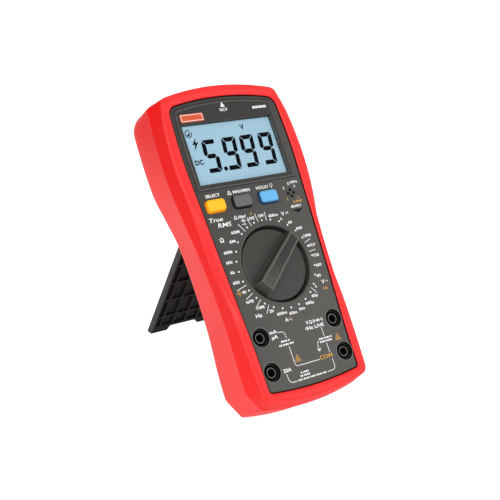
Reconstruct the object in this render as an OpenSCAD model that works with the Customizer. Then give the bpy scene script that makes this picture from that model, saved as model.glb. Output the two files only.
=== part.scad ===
// Handheld digital multimeter leaning back on its tilt stand.
// The case is drawn in its own face frame (X right, Y up along the case,
// Z out of the front panel, origin on the selector axis at the panel face)
// and the whole assembly is then leaned back so that the rear heel of the
// case and the feet of the stand lie on Z = 0.

/* [Stance] */
// Angle the case leans back from upright
lean = 39.5; // [38:0.5:41]
// Angle of the opened stand from the back of the case
stand_open = 62.5; // [61:0.5:64]

/* [Case] */
// Widest part of the case, beside the display
case_w = 88.1; // [86:0.1:90]
// Narrowest part of the case, below the selector
waist_w = 74.7; // [73:0.1:76]
// Width of the case at the input sockets
foot_w = 76; // [75:0.1:78]
// Top of the case above the selector axis
case_top = 107.3; // [106.5:0.1:108]
// Bottom of the case below the selector axis
case_bottom = 76.3; // [76:0.1:77]
// Depth of the case behind the panel face
case_depth = 38; // [37.5:0.1:39]
// Depth of the parting line between front and rear shells
part_depth = 11; // [10.5:0.1:11.5]
// Shell wall thickness
wall = 2.4; // [2:0.1:2.6]
// How far the rim stands proud of the panel
rim_h = 1.2; // [0.8:0.1:1.6]

/* [Panel] */
// Thickness of the front panel plate
panel_t = 2.2; // [2:0.1:2.4]
// Visible width of the display
lcd_w = 59.9; // [58:0.1:61]
// Visible height of the display
lcd_h = 34.5; // [33:0.1:35]
// Height of the display centre above the selector axis
lcd_y = 67.7; // [67.4:0.1:68]
// Sideways place of the display centre
lcd_x = -1; // [-1.4:0.1:-0.6]
// Length of a push button cap
key_l = 11.6; // [11:0.1:12]
// Width of a push button cap
key_w = 6.6; // [6:0.1:7]
// Height of the caps above the panel
key_h = 2.3; // [1.5:0.1:3]

/* [Selector] */
// Radius of the knob disc
knob_r = 20.6; // [20:0.1:21]
// Height of the grip bar above the panel
knob_h = 5.2; // [4:0.1:7]
// Width of the grip bar at its tail, it narrows towards the pointing end
bar_w = 7.9; // [7:0.1:8.4]
// Direction in which the bar points, from the right-hand side
bar_dir = 40; // [0:1:90]
// Number of selector positions
stops = 28; // [20:1:32]

/* [Sockets] */
// Half of the distance between the socket columns
jack_x = 25.1; // [24.8:0.1:25.3]
// Height of the upper sockets
jack_y1 = -36.9; // [-37.5:0.1:-36.5]
// Spacing of the sockets
jack_pitch = 19.05; // [19:0.05:19.1]
// Bore radius for a 4 mm plug
jack_r = 2; // [2:0.01:2.05]
// Depth of the socket rims below the panel
jack_z = 1.2; // [1:0.1:1.3]

/* [Stand] */
// Width of the stand
stand_w = 46; // [44:0.5:46]
// Thickness of the stand
stand_t = 4.1; // [3.8:0.1:4.2]
// Height of the stand hinge above the selector axis
hinge_y = 39.1; // [38.5:0.1:39.5]
// Radius of the hinge pins
pin_r = 1.25; // [1:0.05:1.4]

/* [Hidden] */

red = "#ff4242";
dark = "#4a4946";
black = "#262422";

centre = [0, 0];
far = 60;                 // sideways reach of cutters, beyond the case
sliver = 0.01;            // thickness of sections that are hulled

// Circuit board, and the levels where parts sit on its two faces
pcb_front = -12;
pcb_back = pcb_front - 1.6;
on_front = pcb_front + 0.02;
on_back = pcb_back - 0.02;

// Selector well, knob disc and detents
well_r = 21.8;
well_z = -6;
well_back = well_z - 1.4;
disc_z = -1.4;
detent_r = 13;

// Display
lcd_z = -1.64;            // front of the display glass
glass_edge = 1.2;         // glass beyond the visible width
glass_below = 19.2;
glass_above = 18.7;
bezel_right = 32.4;
bezel_low = 46.6;
badge_at = [-23.1, 88.95];

// Places on the face, [x, y]
screws_top = [for (s = [-1, 1]) [s*27, 90.6]];
screws_low = [for (s = [-1, 1]) [s*17, -64.2]];
screws = concat(screws_top, screws_low);
board_screws = [[-30, 18], [30, 18], [-27.5, -20], [27.5, -20]];
jacks = [for (y = [jack_y1, jack_y1 - jack_pitch]) for (s = [-1, 1]) [s*jack_x, y]];
key_x = [-26.3, -8.8, 9.1];
key_y = 37.8;
hfe_at = [25.5, key_y - 0.2];
arrow_at = [26.2, 27.02];
lens_at = [26.1, 26.4];

// Fuses
fuse_ma_at = [-25.5, -4];
fuse_ma_r = 2.6;
fuse_20a_at = [25.5, -1];
fuse_20a_r = 3.15;

// Battery bay and its door
recess_z = -33.5;         // floor of the stand recess
door_x = 17.5;            // half width of the door
door_y0 = -48.5;
door_y1 = 10.5;
door_screw_at = [0, door_y1 - 2.6];
tab_x = 9;
battery_x = 7.4;
battery_z = -24.7;

// Floor, stand and the flat heel, heel points are [y, z] in the face frame
sin_lean = sin(lean);
cos_lean = cos(lean);
floor_drop = case_bottom*cos_lean + (case_depth - 6.6)*sin_lean;
hinge_z = -case_depth + stand_t/2;
splay = stand_open - lean;   // angle of the stand from upright
stand_l = (floor_drop + hinge_y*cos_lean + hinge_z*sin_lean)/cos(splay);
rib_pitch = 15.3;            // spacing of the cross ribs on the stand
heel_front = [-case_bottom, (case_bottom*cos_lean - floor_drop)/sin_lean];
heel_back = [-(floor_drop - case_depth*sin_lean)/cos_lean, -case_depth];
heel_mid = (heel_front + heel_back)/2;
heel_shift = heel_mid[1]*cos_lean - heel_mid[0]*sin_lean;

// ---- Outlines of the case
// Stations up the case: [y, half width], joined smoothly
foot_x = foot_w/2;
waist_x = waist_w/2;
case_x = case_w/2;
// at the parting line
part_stations = [
  [-76, foot_x - 0.4], [-50, foot_x], [-24, waist_x], [10, waist_x + 1.55],
  [36, waist_x + 4.55], [60, case_x], [84, case_x - 0.55], [107, case_x - 2.25]];
// round the rear shell
rear_stations = [
  [-76, foot_x + 2], [-50, foot_x + 1.6], [-25, waist_x + 0.75],
  [5, waist_x + 0.45], [28, waist_x + 1.55], [45, case_x - 2.25],
  [58, case_x - 0.05], [84, case_x + 0.1], [107, case_x - 1.25]];
// along the outer edge of the rim
rim_stations = [
  [-76, foot_x - 2.8], [-50, foot_x - 2.3], [-24, waist_x - 0.2],
  [10, waist_x + 1.55], [36, waist_x + 4.45], [60, case_x - 0.5],
  [84, case_x - 1.6], [96, case_x - 4.2], [107, case_x - 7.2]];
// round the front panel
panel_stations = [
  [-68, 30.3], [-45, 30.8], [-20, 32.2], [10, 33.9],
  [40, 35.5], [65, 36.7], [88, 36], [100, 35]];

side_steps = 16;
corner_steps = 5;
end_steps = 6;
arch_x = 40;              // half width over which the arch of an end is given

function unit(v) = v/norm(v);
function heading(v) = atan2(v[1], v[0]);

// index of the span between stations that holds y
function span_at(table, y, i = 0) =
  (i < len(table) - 2 && y > table[i+1][0]) ? span_at(table, y, i + 1) : i;
// slope of the curve at station j
function station_slope(table, j) =
  let(a = table[max(j - 1, 0)], b = table[min(j + 1, len(table) - 1)])
  (b[1] - a[1])/(b[0] - a[0]);
// half width at y: cubic between stations, straight beyond the end ones
function half_width(table, y) =
  let(i = span_at(table, y), low = table[i], high = table[i+1],
      h = high[0] - low[0], t = (y - low[0])/h,
      slope0 = station_slope(table, i), slope1 = station_slope(table, i + 1))
  t < 0 ? low[1] + slope0*(y - low[0]) :
  t > 1 ? high[1] + slope1*(y - high[0]) :
  low[1]*(1 + 2*t)*pow(1 - t, 2) + h*slope0*t*pow(1 - t, 2)
    + high[1]*t*t*(3 - 2*t) + h*slope1*t*t*(t - 1);
function side_normal(table, y) =
  unit([1, half_width(table, y - 0.5) - half_width(table, y + 0.5)]);

// Arched ends: s is 1 at the top and -1 at the bottom.
// height of the arch at x, moved inwards by r
function end_y(x, edge, arch, r, s) = edge - s*(arch*pow(x/arch_x, 2) + r);
function end_normal(arch, x, s) = s*unit([s*2*arch*x/pow(arch_x, 2), 1]);
function end_point(x, edge, arch, r, grow, s) =
  [x, end_y(x, edge, arch, r, s)] + (r + grow)*end_normal(arch, x, s);
// centre of the rounded corner between side and end, found by iteration
function corner(table, edge, arch, r, s, y, n = 8) =
  let(x = half_width(table, y) - r, next_y = end_y(x, edge, arch, r, s))
  n == 0 ? [x, next_y] : corner(table, edge, arch, r, s, next_y, n - 1);
// points inside an arc, without its two ends
function corner_arc(mid, r, from, to) =
  [for (i = [1:corner_steps-1]) let(a = from + (to - from)*i/corner_steps)
    mid + r*[cos(a), sin(a)]];

// closed outline, grown outwards by grow: the right half from the bottom
// up, then its mirror image back down
function outline(table, top, bottom, arch_top, arch_low, r_top, r_low, grow) =
  let(high = corner(table, top, arch_top, r_top, 1, top - r_top - arch_top),
      low = corner(table, bottom, arch_low, r_low, -1, bottom + r_low + arch_low),
      half = concat(
        [for (i = [0:end_steps])
          end_point(low[0]*i/end_steps, bottom, arch_low, r_low, grow, -1)],
        corner_arc(low, r_low + grow, heading(end_normal(arch_low, low[0], -1)),
          heading(side_normal(table, low[1]))),
        [for (i = [0:side_steps])
          let(y = low[1] + (high[1] - low[1])*i/side_steps,
              r = r_low + (r_top - r_low)*i/side_steps)
          [half_width(table, y) - r, y] + (r + grow)*side_normal(table, y)],
        corner_arc(high, r_top + grow, heading(side_normal(table, high[1])),
          heading(end_normal(arch_top, high[0], 1))),
        [for (i = [0:end_steps])
          end_point(high[0]*(1 - i/end_steps), top, arch_top, r_top, grow, 1)]))
  concat(half, [for (i = [len(half)-2:-1:1]) [-half[i][0], half[i][1]]]);
// lower corners cut off along a line at a distance from the origin
function chop(points, distance) =
  [for (p = points) let(over = max(0, 0.866*abs(p[0]) - 0.5*p[1] - distance))
    [p[0] - sign(p[0])*0.866*over, p[1] + 0.5*over]];

function part_outline(grow = 0) =
  chop(outline(part_stations, case_top, -case_bottom, 5.4, 5, 3.6, 6, grow), 64.1 + grow);
function rim_outline(grow = 0) =
  outline(rim_stations, case_top - 0.6, -case_bottom + 1.7, 5.4, 6, 5, 6, grow);
// drop lowers the bottom end
function rear_outline(grow = 0, drop = -0.3) =
  chop(outline(rear_stations, case_top + 1.2 + 0.2*grow, -case_bottom - drop,
    6.4, 5, 15, max(8, 1.5 - grow), grow), 66.1 + grow);
function panel_outline(grow = 0) =
  outline(panel_stations, 99.6, -68, 5, 3.6, 6, 2, grow);
// flat triangle of the indicator opening, scaled about its middle
function arrow(scaling) =
  [for (p = [[-3.9, 0.73], [0, -1.47], [3.8, 0.73]]) arrow_at + scaling*p];

// the rim dips at the waist, where a hand grips it
function dip(y) = 4.2*exp(-pow((y - 7)/22, 2));
// outline placed at depth z, following a share of the dip
function ring(points, z, share = 0) = [for (p = points) [p[0], p[1], z - share*dip(p[1])]];
function halfway(a, b) = [for (i = [0:len(a)-1]) (a[i] + b[i])/2];

// ---- Shared shapes
function flatten(rings) = [for (r = rings) for (p = r) p];
// triangles between each ring and the next, n points to a ring
function side_faces(n, rings, bands) =
  [for (j = [0:bands-1]) for (i = [0:n-1])
    let(k = (i + 1)%n, row = j*n, next = ((j + 1)%rings)*n)
    each [[row + i, row + k, next + k], [row + i, next + k, next + i]]];
// tube through closed rings, last ring joined to the first
module ring_loft(rings) {
  count = len(rings);
  polyhedron(points = flatten(rings),
    faces = side_faces(len(rings[0]), count, count), convexity = 8);
}
// solid through stacked rings from front to back, capped at both ends
module stack_loft(rings) {
  n = len(rings[0]);
  count = len(rings);
  polyhedron(points = flatten(rings),
    faces = concat([[for (i = [n-1:-1:0]) i]], side_faces(n, count, count - 1),
      [[for (i = [0:n-1]) (count - 1)*n + i]]), convexity = 8);
}
module slab(points, z0, z1) {
  translate([0, 0, z0]) linear_extrude(height = z1 - z0) polygon(points);
}
module box(x0, x1, y0, y1, z0, z1) {
  translate([x0, y0, z0]) cube([x1 - x0, y1 - y0, z1 - z0]);
}
// box centred on a place of the face, w along X and h along Y
module block(at, w, h, z0, z1) {
  box(at[0] - w/2, at[0] + w/2, at[1] - h/2, at[1] + h/2, z0, z1);
}
module rounded_block(at, w, h, z0, z1, r) {
  union() {
    block(at, w - 2*r, h, z0, z1);
    block(at, w, h - 2*r, z0, z1);
    for (i = [-1, 1]) for (j = [-1, 1]) rod(at + [i*(w/2 - r), j*(h/2 - r)], z0, z1, r, 32);
  }
}
// cylinder along Z
module rod(at, z0, z1, r, fn = 48) {
  translate([at[0], at[1], z0]) cylinder(r = r, h = z1 - z0, $fn = fn);
}
module tube(at, z0, z1, outer, inner, fn = 48) {
  difference() {
    rod(at, z0, z1, outer, fn);
    rod(at, z0 - 1, z1 + 1, inner, fn);
  }
}
// cylinder along X, centred
module cross_rod(at, length, r, fn = 48) {
  translate(at) rotate([0, 90, 0]) cylinder(r = r, h = length, $fn = fn, center = true);
}
module cross_slot(at, z0, z1, length, width) {
  for (a = [0, 90])
    translate([at[0], at[1], 0]) rotate(a) block(centre, length, width, z0, z1);
}
// face frame to standing frame
module stance() {
  translate([0, heel_shift, floor_drop]) rotate([90 - lean, 0, 0]) children();
}
// X along the grip bar
module knob_stance() { stance() rotate(bar_dir) children(); }

// ---- Case
module front_case() {
  color(red) stance() difference() {
    union() {
      ring_loft([
        ring(panel_outline(0.35), -panel_t - 0.2),
        ring(panel_outline(0.6), -0.2),
        ring(panel_outline(2.4), rim_h),
        ring(rim_outline(-1.8), rim_h - 0.2, 0.7),
        ring(rim_outline(-0.35), 0.5, 0.95),
        ring(rim_outline(), -0.2, 1),
        ring(part_outline(0.15), -part_depth),
        ring(part_outline(-wall), -part_depth),
        ring(rim_outline(-wall), -5.4),
        ring(rim_outline(-wall), -4.8),
        ring(panel_outline(-0.6), -4.8),
        ring(panel_outline(-0.6), -panel_t - 0.2)]);
      for (p = screws) rod(p, -part_depth, -4.2, 3.1, 32);
      // ribs that tie the upper bosses to the rim
      for (p = screws_top) box(p[0] - 1.2, p[0] + 1.2, p[1] + 2, 99, -9, -4.2);
    }
    for (p = screws) rod(p, -part_depth - 1, -5.2, 1.2, 32);
  }
}

module rear_shell() {
  difference() {
    stack_loft([
      ring(part_outline(0.15), -part_depth),
      ring(halfway(part_outline(0.1), rear_outline()), -18),
      ring(rear_outline(), -25.5),
      ring(rear_outline(-1.3, 1.1), -29.5),
      ring(rear_outline(-4, 3.5), -32.2),
      ring(rear_outline(-10, 7.7), -case_depth)]);
    // hollow, less the recess floor and the screw bosses
    difference() {
      stack_loft([
        ring(part_outline(-wall), -part_depth + 1),
        ring(halfway(part_outline(-wall), rear_outline(-wall)), -18),
        ring(rear_outline(-wall), -25.5),
        ring(rear_outline(-wall - 3.4), -31),
        ring(rear_outline(-wall - 8), -case_depth + wall)]);
      box(-26, 26, -58.8, 44.3, -case_depth - 1, recess_z + 2.2);
      for (p = screws) rod(p, -case_depth, -part_depth, 3.1, 32);
    }
  }
}
module bay_opening(front) {
  box(-door_x + 1, door_x - 1, door_y0 + 0.4, door_y1 - 5, recess_z - 1, front);
}
module door_plate(grow, z0, z1) {
  box(-door_x - grow, door_x + grow, door_y0 - grow, door_y1 + grow, z0, z1);
}
module rear_case() {
  stand_end = hinge_y - stand_l;
  color(red) stance() difference() {
    union() {
      rear_shell();
      // battery bay walls
      difference() {
        box(-door_x - 0.9, door_x + 0.9, door_y0 - 1.4, door_y1 + 1.4, recess_z + 1.8, -19);
        bay_opening(0);
      }
    }
    // stand recess
    box(-stand_w/2 - 0.5, stand_w/2 + 0.5, stand_end - 2.2, hinge_y + stand_t/2 + 0.45,
      -case_depth - 1, recess_z);
    // battery door seat, screw hole and tab slots
    door_plate(0.15, recess_z - 1, recess_z + 1.6);
    bay_opening(recess_z + 3);
    rod(door_screw_at, recess_z, recess_z + 8, 1.05, 32);
    for (s = [-1, 1])
      box(s*tab_x - 3.2, s*tab_x + 3.2, door_y0 - 1.6, door_y0 + 1,
        recess_z + 0.35, recess_z + 1.7);
    // hinge pin bores
    cross_rod([0, hinge_y, hinge_z], stand_w + 6.8, pin_r + 0.05);
    // finger scoop at the free end of the stand
    box(-9, 9, stand_end - 5.2, stand_end, -case_depth - 1, -case_depth + 3);
    // screw holes with head pockets
    for (p = screws) {
      rod(p, -case_depth - 1, -part_depth + 1, 1.65, 32);
      rod(p, -case_depth - 1, -case_depth + 6, 2.9, 32);
    }
    // flat heel
    translate([0, -floor_drop*cos_lean, -floor_drop*sin_lean]) rotate([lean - 90, 0, 0])
      box(-far, far, -far, far, -20, 0);
  }
}
module case_screws() {
  color("silver") stance() for (p = screws) difference() {
    union() {
      rod(p, -case_depth + 3.6, -case_depth + 5.97, 2.6, 32);
      rod(p, -case_depth + 5.9, -6, 1.15, 24);
    }
    cross_slot(p, -case_depth + 3, -case_depth + 4.8, 3.2, 0.7);
  }
}

// ---- Front panel
// blank of the bezel, drawn in by inset from its pocket
module bezel_blank(inset, z0, z1) {
  intersection() {
    slab(panel_outline(-1.6 - inset), z0, z1);
    box(-far, bezel_right - inset, bezel_low + inset, 2*far, -3, 2);
  }
}
module panel_body() {
  union() {
    slab(panel_outline(), -panel_t, 0);
    // selector well
    rod(centre, well_back, -0.5, well_r + 1.3, 96);
    // lip round the well
    difference() {
      rod(centre, -0.5, 0.25, well_r + 1.3, 96);
      rod(centre, 0, 1, well_r + 0.9, 96);
    }
    for (p = board_screws) rod(p, on_front, -1, 2.6, 32);
    // thickening behind the socket counterbores
    intersection() {
      slab(panel_outline(-0.9), -3.4, -1);
      union() {
        for (p = jacks) rod(p, -4, 0, 6.6);
      }
    }
  }
}
module front_panel() {
  color(dark) stance() difference() {
    panel_body();
    rod(centre, well_z, 2, well_r, 96);
    rod(centre, well_z - 3, 1, 6.06, 64);
    // track and pits for the detent balls
    tube(centre, well_back - 1, well_back + 0.75, detent_r + 1.1, detent_r - 1.1, 96);
    for (i = [0:stops-1])
      rotate(90 - i*360/stops) rod([detent_r, 0], well_back - 1, well_back + 1, 0.7, 24);
    for (p = board_screws) rod(p, pcb_front - 1, -3.2, 0.9, 24);
    for (x = key_x)
      rounded_block([x, key_y], key_l + 0.6, key_w + 0.6, -panel_t - 1, 1, 1.9);
    for (p = jacks) {
      rod(p, -4, 1, 4.7, 64);
      rod(p, -jack_z - 0.55, 1, 5.15, 64);
    }
    rod(hfe_at, -panel_t - 1, 1, 4.25);
    // indicator opening
    slab(arrow(1), -panel_t - 1, -panel_t + 3);
    // display pocket and opening
    bezel_blank(0, -1.35, 1);
    block([lcd_x, lcd_y], lcd_w + 2.6, 38.6, -5, 1);
  }
}

// ---- Display
// visible area of the display, grown on all sides
module view_block(grow, z0, z1) {
  block([lcd_x, lcd_y], lcd_w + 2*grow, lcd_h + 2*grow, z0, z1);
}
module glass_block(z0, z1, below = glass_below) {
  half = lcd_w/2 + glass_edge;
  box(lcd_x - half, lcd_x + half, lcd_y - below, lcd_y + glass_above, z0, z1);
}
module display_bezel() {
  color("#3e3d3b") stance() difference() {
    bezel_blank(0.15, -1.3, 0.3);
    view_block(0.35, -5, 2);
    block(badge_at, 15.2, 5, -0.2, 1.8);
  }
}
module display_window() { color("white", 0.3) stance() view_block(0.3, -1.3, -0.1); }
module lcd_mask() {
  color("#2b2a29") stance() difference() {
    glass_block(lcd_z + 0.02, -1.32);
    view_block(0, -5, 1);
  }
}
module lcd_glass() { color("#a3c6dc") stance() glass_block(lcd_z - 1.88, lcd_z); }
module lcd_backlight() {
  color("white") stance() union() {
    glass_block(lcd_z - 4.8, lcd_z - 1.9, below = 17.5);
    // legs that stand on the board
    for (x = [-26, 24]) for (y = [-14, 15])
      block([x, lcd_y + y], 3, 3, on_front, lcd_z - 4.7);
  }
}
module lcd_connector() {
  color("#e8a0a8") stance() box(-28, 27, lcd_y - 18.9, lcd_y - 17.8, on_front, lcd_z - 1.9);
}
module badge_plate() { color("#e45a32") stance() block(badge_at, 15, 4.8, -0.18, 0.52); }

// ---- Transistor socket and voltage indicator
module at_hfe_pins() {
  for (a = [0:90:270])
    translate([hfe_at[0], hfe_at[1], 0]) rotate(a) translate([1.9, 0, 0]) children();
}
module hfe_socket() {
  color(dark) stance() difference() {
    union() {
      rod(hfe_at, -8, 0.02, 4.2);
      rod(hfe_at, -4.4, -panel_t - 0.05, 5.2);
    }
    at_hfe_pins() union() {
      rod(centre, -20, 10, 0.55, 24);
      rod(centre, -4, 6, 0.75, 24);
    }
  }
}
module hfe_contacts() {
  color("gold") stance() at_hfe_pins() difference() {
    rod(centre, pcb_front - 2.4, pcb_front + 7.8, 0.5, 24);
    rod(centre, pcb_front + 1.6, pcb_front + 13.6, 0.3, 24);
  }
}
module ncv_lens() {
  color("#3c3432") stance() union() {
    slab(arrow(0.88), -3.4, -1.2);
    rod(lens_at, -5, -3.3, 2.2, 32);
    rod(lens_at, on_front, on_front + 7, 1.5, 32);
  }
}
module ncv_antenna() {
  color("#c87533") stance() union() {
    box(-9, 9, 94.2, 95.6, -9, -3.4);
    box(-9, 9, 94.2, 96.6, -3.8, -3.4);
    box(-1, 1, 94.2, 95.6, on_front, -8.9);
  }
}

// ---- Circuit board and the parts on its back
module main_pcb() {
  boss_gap = 3.6;         // clearance round the case screw bosses
  color("#1f6b3c") stance() difference() {
    intersection() {
      slab(part_outline(-wall - 0.8), pcb_back, pcb_front);
      box(-far, far, -70.8, 97.5, -20, 0);
    }
    for (p = screws) rod(p, -20, 0, boss_gap, 32);
    // notches from the bosses to the edge of the board
    for (p = screws_top) {
      side = sign(p[0])*far;
      box(min(p[0], side), max(p[0], side), p[1] - boss_gap, 2*far, -20, 0);
    }
    for (p = screws_low) box(p[0] - boss_gap, p[0] + boss_gap, -90, p[1], -20, 0);
    for (p = jacks) rod(p, -20, 0, 3);
    for (p = board_screws) rod(p, -20, 0, 1.1, 24);
    rod(centre, -20, 0, 4.2, 64);
    at_hfe_pins() rod(centre, -20, 10, 0.6, 24);
  }
}
module pcb_screws() {
  color("silver") stance() for (p = board_screws) union() {
    rod(p, pcb_back - 1.6, on_back, 1.9, 32);
    rod(p, pcb_back - 0.03, -4, 0.88, 24);
  }
}
module measurement_ic() {
  mid_y = 64;
  color("#202020") stance() union() {
    block([0, mid_y], 14, 14, pcb_back - 1.9, pcb_back - 0.25);
    // legs
    for (s = [-1, 1]) for (i = [-5:5])
      block([i*1.1, mid_y + s*7.75], 0.5, 1.7, pcb_back - 0.6, on_back);
  }
}
module crystal() {
  color("silver") stance() union() {
    box(13, 17, 58, 66, pcb_back - 3.2, on_back);
    for (y = [58, 66]) rod([15, y], pcb_back - 3.2, on_back, 2, 32);
  }
}
module ptc_thermistor() {
  y = -58.5;
  color("#d9b24a") stance() union() {
    rod([0, y], pcb_back - 9, pcb_back - 5, 4, 32);
    for (x = [-1.6, 1.6]) rod([x, y], pcb_back - 5.2, on_back, 0.35, 16);
  }
}
module varistors() {
  y = 36;
  color("#2c5fa8") stance() for (x = [-30, -22]) union() {
    cross_rod([x, y, pcb_back - 6.5], 3.4, 4.2, 32);
    for (s = [-2, 2]) rod([x, y + s], pcb_back - 4, on_back, 0.35, 16);
  }
}
module filter_capacitor() {
  color("#1d2a44") stance() rod([24, 60], pcb_back - 11, on_back, 3.15, 32);
}
module current_shunt() {
  y = -64.5;
  wire_r = 0.8;
  color("#b08d57") stance() union() {
    for (x = [-6.5, 6.5]) rod([x, y], on_back - 6, on_back, wire_r, 24);
    cross_rod([0, y, on_back - 6], 14.6, wire_r, 24);
  }
}
module buzzer() { color("#d8b45a") stance() rod([-24, 62], pcb_back - 5, on_back, 6.2); }

// fuse links lie along the case on either side of the battery bay
function fuse_z(r) = pcb_back - 1.9 - r;
module fuse(at, length, r, band) {
  translate([at[0], at[1], fuse_z(r)]) rotate([90, 0, 0]) union() {
    cylinder(r = r - 0.25, h = length - 0.4, $fn = 32, center = true);
    for (s = [-1, 1]) translate([0, 0, s*(length - band)/2])
      cylinder(r = r, h = band, $fn = 32, center = true);
  }
}
module fuse_ma() {
  color("#e8e4da") stance() fuse(fuse_ma_at, length = 20, r = fuse_ma_r, band = 5);
}
module fuse_20a() {
  color("#e8e4da") stance() fuse(fuse_20a_at, length = 32, r = fuse_20a_r, band = 6.4);
}
// two clips of a fuse, each offset from its middle
module clip_pair(at, r, offset, width) {
  for (end = [-1, 1]) {
    mid = at + [0, end*offset];
    union() {
      block(mid, 2*r + 1.8, width, pcb_back - 1.7, on_back);
      for (s = [-1, 1])
        block(mid + [s*(r + 0.5), 0], 0.7, width, fuse_z(r) - r*0.7, pcb_back - 0.5);
    }
  }
}
module fuse_clips() {
  color("silver") stance() union() {
    clip_pair(fuse_ma_at, fuse_ma_r, offset = 7.6, width = 4);
    clip_pair(fuse_20a_at, fuse_20a_r, offset = 12.9, width = 5.2);
  }
}

// ---- Input sockets
module jack_shrouds() {
  color(black) stance() for (p = jacks) difference() {
    union() {
      rod(p, pcb_front + 0.05, -jack_z - 0.3, 4.62, 64);
      rod(p, -jack_z - 0.52, -jack_z, 5.02, 64);
    }
    rod(p, pcb_front + 1.6, 2, 4.15, 64);
    rod(p, -30, 2, 2.98);
    // step between the two rims of the collar
    tube(p, -jack_z - 0.25, 1, 4.85, 4.5, 64);
  }
}
module jack_sleeves() {
  color("#9a9a98") stance() for (p = jacks) difference() {
    union() {
      rod(p, -25, -jack_z - 0.8, 2.9);
      rod(p, pcb_back - 1.4, pcb_back - 0.03, 4.2);
    }
    rod(p, -23.4, 1, jack_r, 64);
  }
}

// ---- Selector
// section of the grip bar: reach and half width at its tail and at its tip
module bar_section(z, tail_x, tail_half, tip_x, tip_half) {
  slab([[-tail_x, -tail_half], [-tail_x, tail_half], [tip_x, tip_half], [tip_x, -tip_half]],
    z, z + sliver);
}
// straight flanks with draft, narrowing towards the tip, sloping ends
module grip_bar() {
  half = bar_w/2;
  hull() {
    bar_section(disc_z - 1.6, 21.6, half + 0.4, 21.6, half - 0.25);
    bar_section(knob_h - sliver, 17.6, half, 19, half - 1);
  }
}
module knob() {
  bevel = 1.1;
  color("#454340") knob_stance() difference() {
    union() {
      rod(centre, well_z + 0.35, disc_z - bevel, knob_r, 96);
      translate([0, 0, disc_z - bevel])
        cylinder(r1 = knob_r, r2 = knob_r - 1.2, h = bevel, $fn = 96);
      intersection() {
        grip_bar();
        rod(centre, -20, 20, 21.3, 96);
      }
      rod(centre, -8.6, well_z + 0.5, 6, 64);
    }
    // recess for the inlay
    box(-14.6, 17.6, -2.2, 2.2, knob_h - 0.55, knob_h + 2);
    // square drive socket for the rotor
    block(centre, 5.1, 5.1, -10, -4.6);
  }
}
module knob_inlay() {
  color("#55534f") knob_stance() box(-14.5, 17.5, -2.1, 2.1, knob_h - 0.53, knob_h - 0.12);
}
module switch_rotor() {
  color("#e9e4d4") knob_stance() difference() {
    union() {
      rod(centre, -11.2, -8.65, 17.6, 96);
      block(centre, 5, 5, -9, -4.7);
      rod(centre, -15.4, -11, 4.1);
    }
    for (s = [-1, 1]) rod([s*detent_r, 0], -10.6, 0, 1.2, 32);
    // groove for the clip
    tube(centre, -14.9, -14.2, 6, 3.4);
  }
}
// three radial strips, each with a foot at either end
module rotor_contacts() {
  color("#d6a84b") knob_stance() for (i = [0:2]) {
    inner = 6.4 + i*1.6;
    outer = 15.8 - i*1.2;
    rotate(60 + i*120) union() {
      box(inner, outer, -1.1, 1.1, -11.42, -11.22);
      box(inner, inner + 1.2, -1.1, 1.1, -11.95, -11.4);
      box(outer - 1.2, outer, -1.1, 1.1, -11.95, -11.4);
    }
  }
}
module detent_balls() {
  color("silver") knob_stance() for (s = [-1, 1])
    translate([s*detent_r, 0, -7.75]) sphere(r = 1, $fn = 32);
}
module detent_springs() {
  color("#b9bcc0") knob_stance() for (s = [-1, 1])
    tube([s*detent_r, 0], -10.55, -8.8, 1.05, 0.7, 32);
}
module rotor_clip() {
  color("silver") knob_stance() difference() {
    rod(centre, -14.85, -14.25, 6.2);
    rod(centre, -20, 0, 3.45);
    box(0, 10, -2.4, 2.4, -20, 0);
  }
}

// ---- Push buttons
module button(x) {
  at = [x, key_y];
  union() {
    rounded_block(at, key_l, key_w, -3, key_h - 0.6, 1.8);
    rounded_block(at, key_l - 1, key_w - 1, -3, key_h, 1.4);
    rounded_block(at, key_l + 2.4, key_w + 2.4, -3.5, -panel_t - 0.1, 1.5);
    rod(at, -5, -3.4, 2.2, 32);
  }
}
module button_select() { color("#ffc624") stance() button(key_x[0]); }
module button_maxmin() { color("#6e6e70") stance() button(key_x[1]); }
module button_hold() { color("#5ab4f0") stance() button(key_x[2]); }
module keypad() {
  color("#bfc4c8") stance() union() {
    box(-33, 16.5, key_y - 4.8, key_y + 4.8, on_front, pcb_front + 1.2);
    for (x = key_x) {
      rod([x, key_y], pcb_front + 1, -8, 3.6, 32);
      rod([x, key_y], -8.1, -6.3, 1.9, 32);
    }
  }
}

// ---- Batteries
// two cells side by side, pointing opposite ways
module batteries() {
  color("#c9a13a") stance() for (s = [-1, 1])
    translate([s*battery_x, -21.3, battery_z]) rotate([s*90, 0, 0]) union() {
      rod(centre, -24.7, 24.5, 7.1, 64);
      rod(centre, 24.4, 25.6, 2.7, 32);
    }
}
module battery_contacts() {
  color("silver") stance() union() {
    box(-14, 14, -48, -47.5, battery_z - 5, -18.5);
    for (s = [-1, 1]) {
      block([s*battery_x, 5.15], 10, 0.5, battery_z - 5, -17);
      block([s*9.6, 5.15], 5.2, 0.5, -17.1, on_back);
    }
  }
}
module battery_door() {
  outside = recess_z - 1;
  inside = recess_z + 1.55;
  color("#3a3836") stance() difference() {
    union() {
      door_plate(0, recess_z, inside);
      for (s = [-1, 1])
        box(s*tab_x - 3, s*tab_x + 3, door_y0 - 1.4, door_y0 + 0.5, recess_z + 0.45, inside);
    }
    rod(door_screw_at, outside, recess_z + 4, 1.5, 32);
    rod(door_screw_at, outside, recess_z + 0.97, 2.75, 32);
    // grooves across the lower end
    for (i = [0:4]) box(-7, 7, -44 + i*2.2, -43 + i*2.2, outside, recess_z + 0.5);
  }
}
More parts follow.
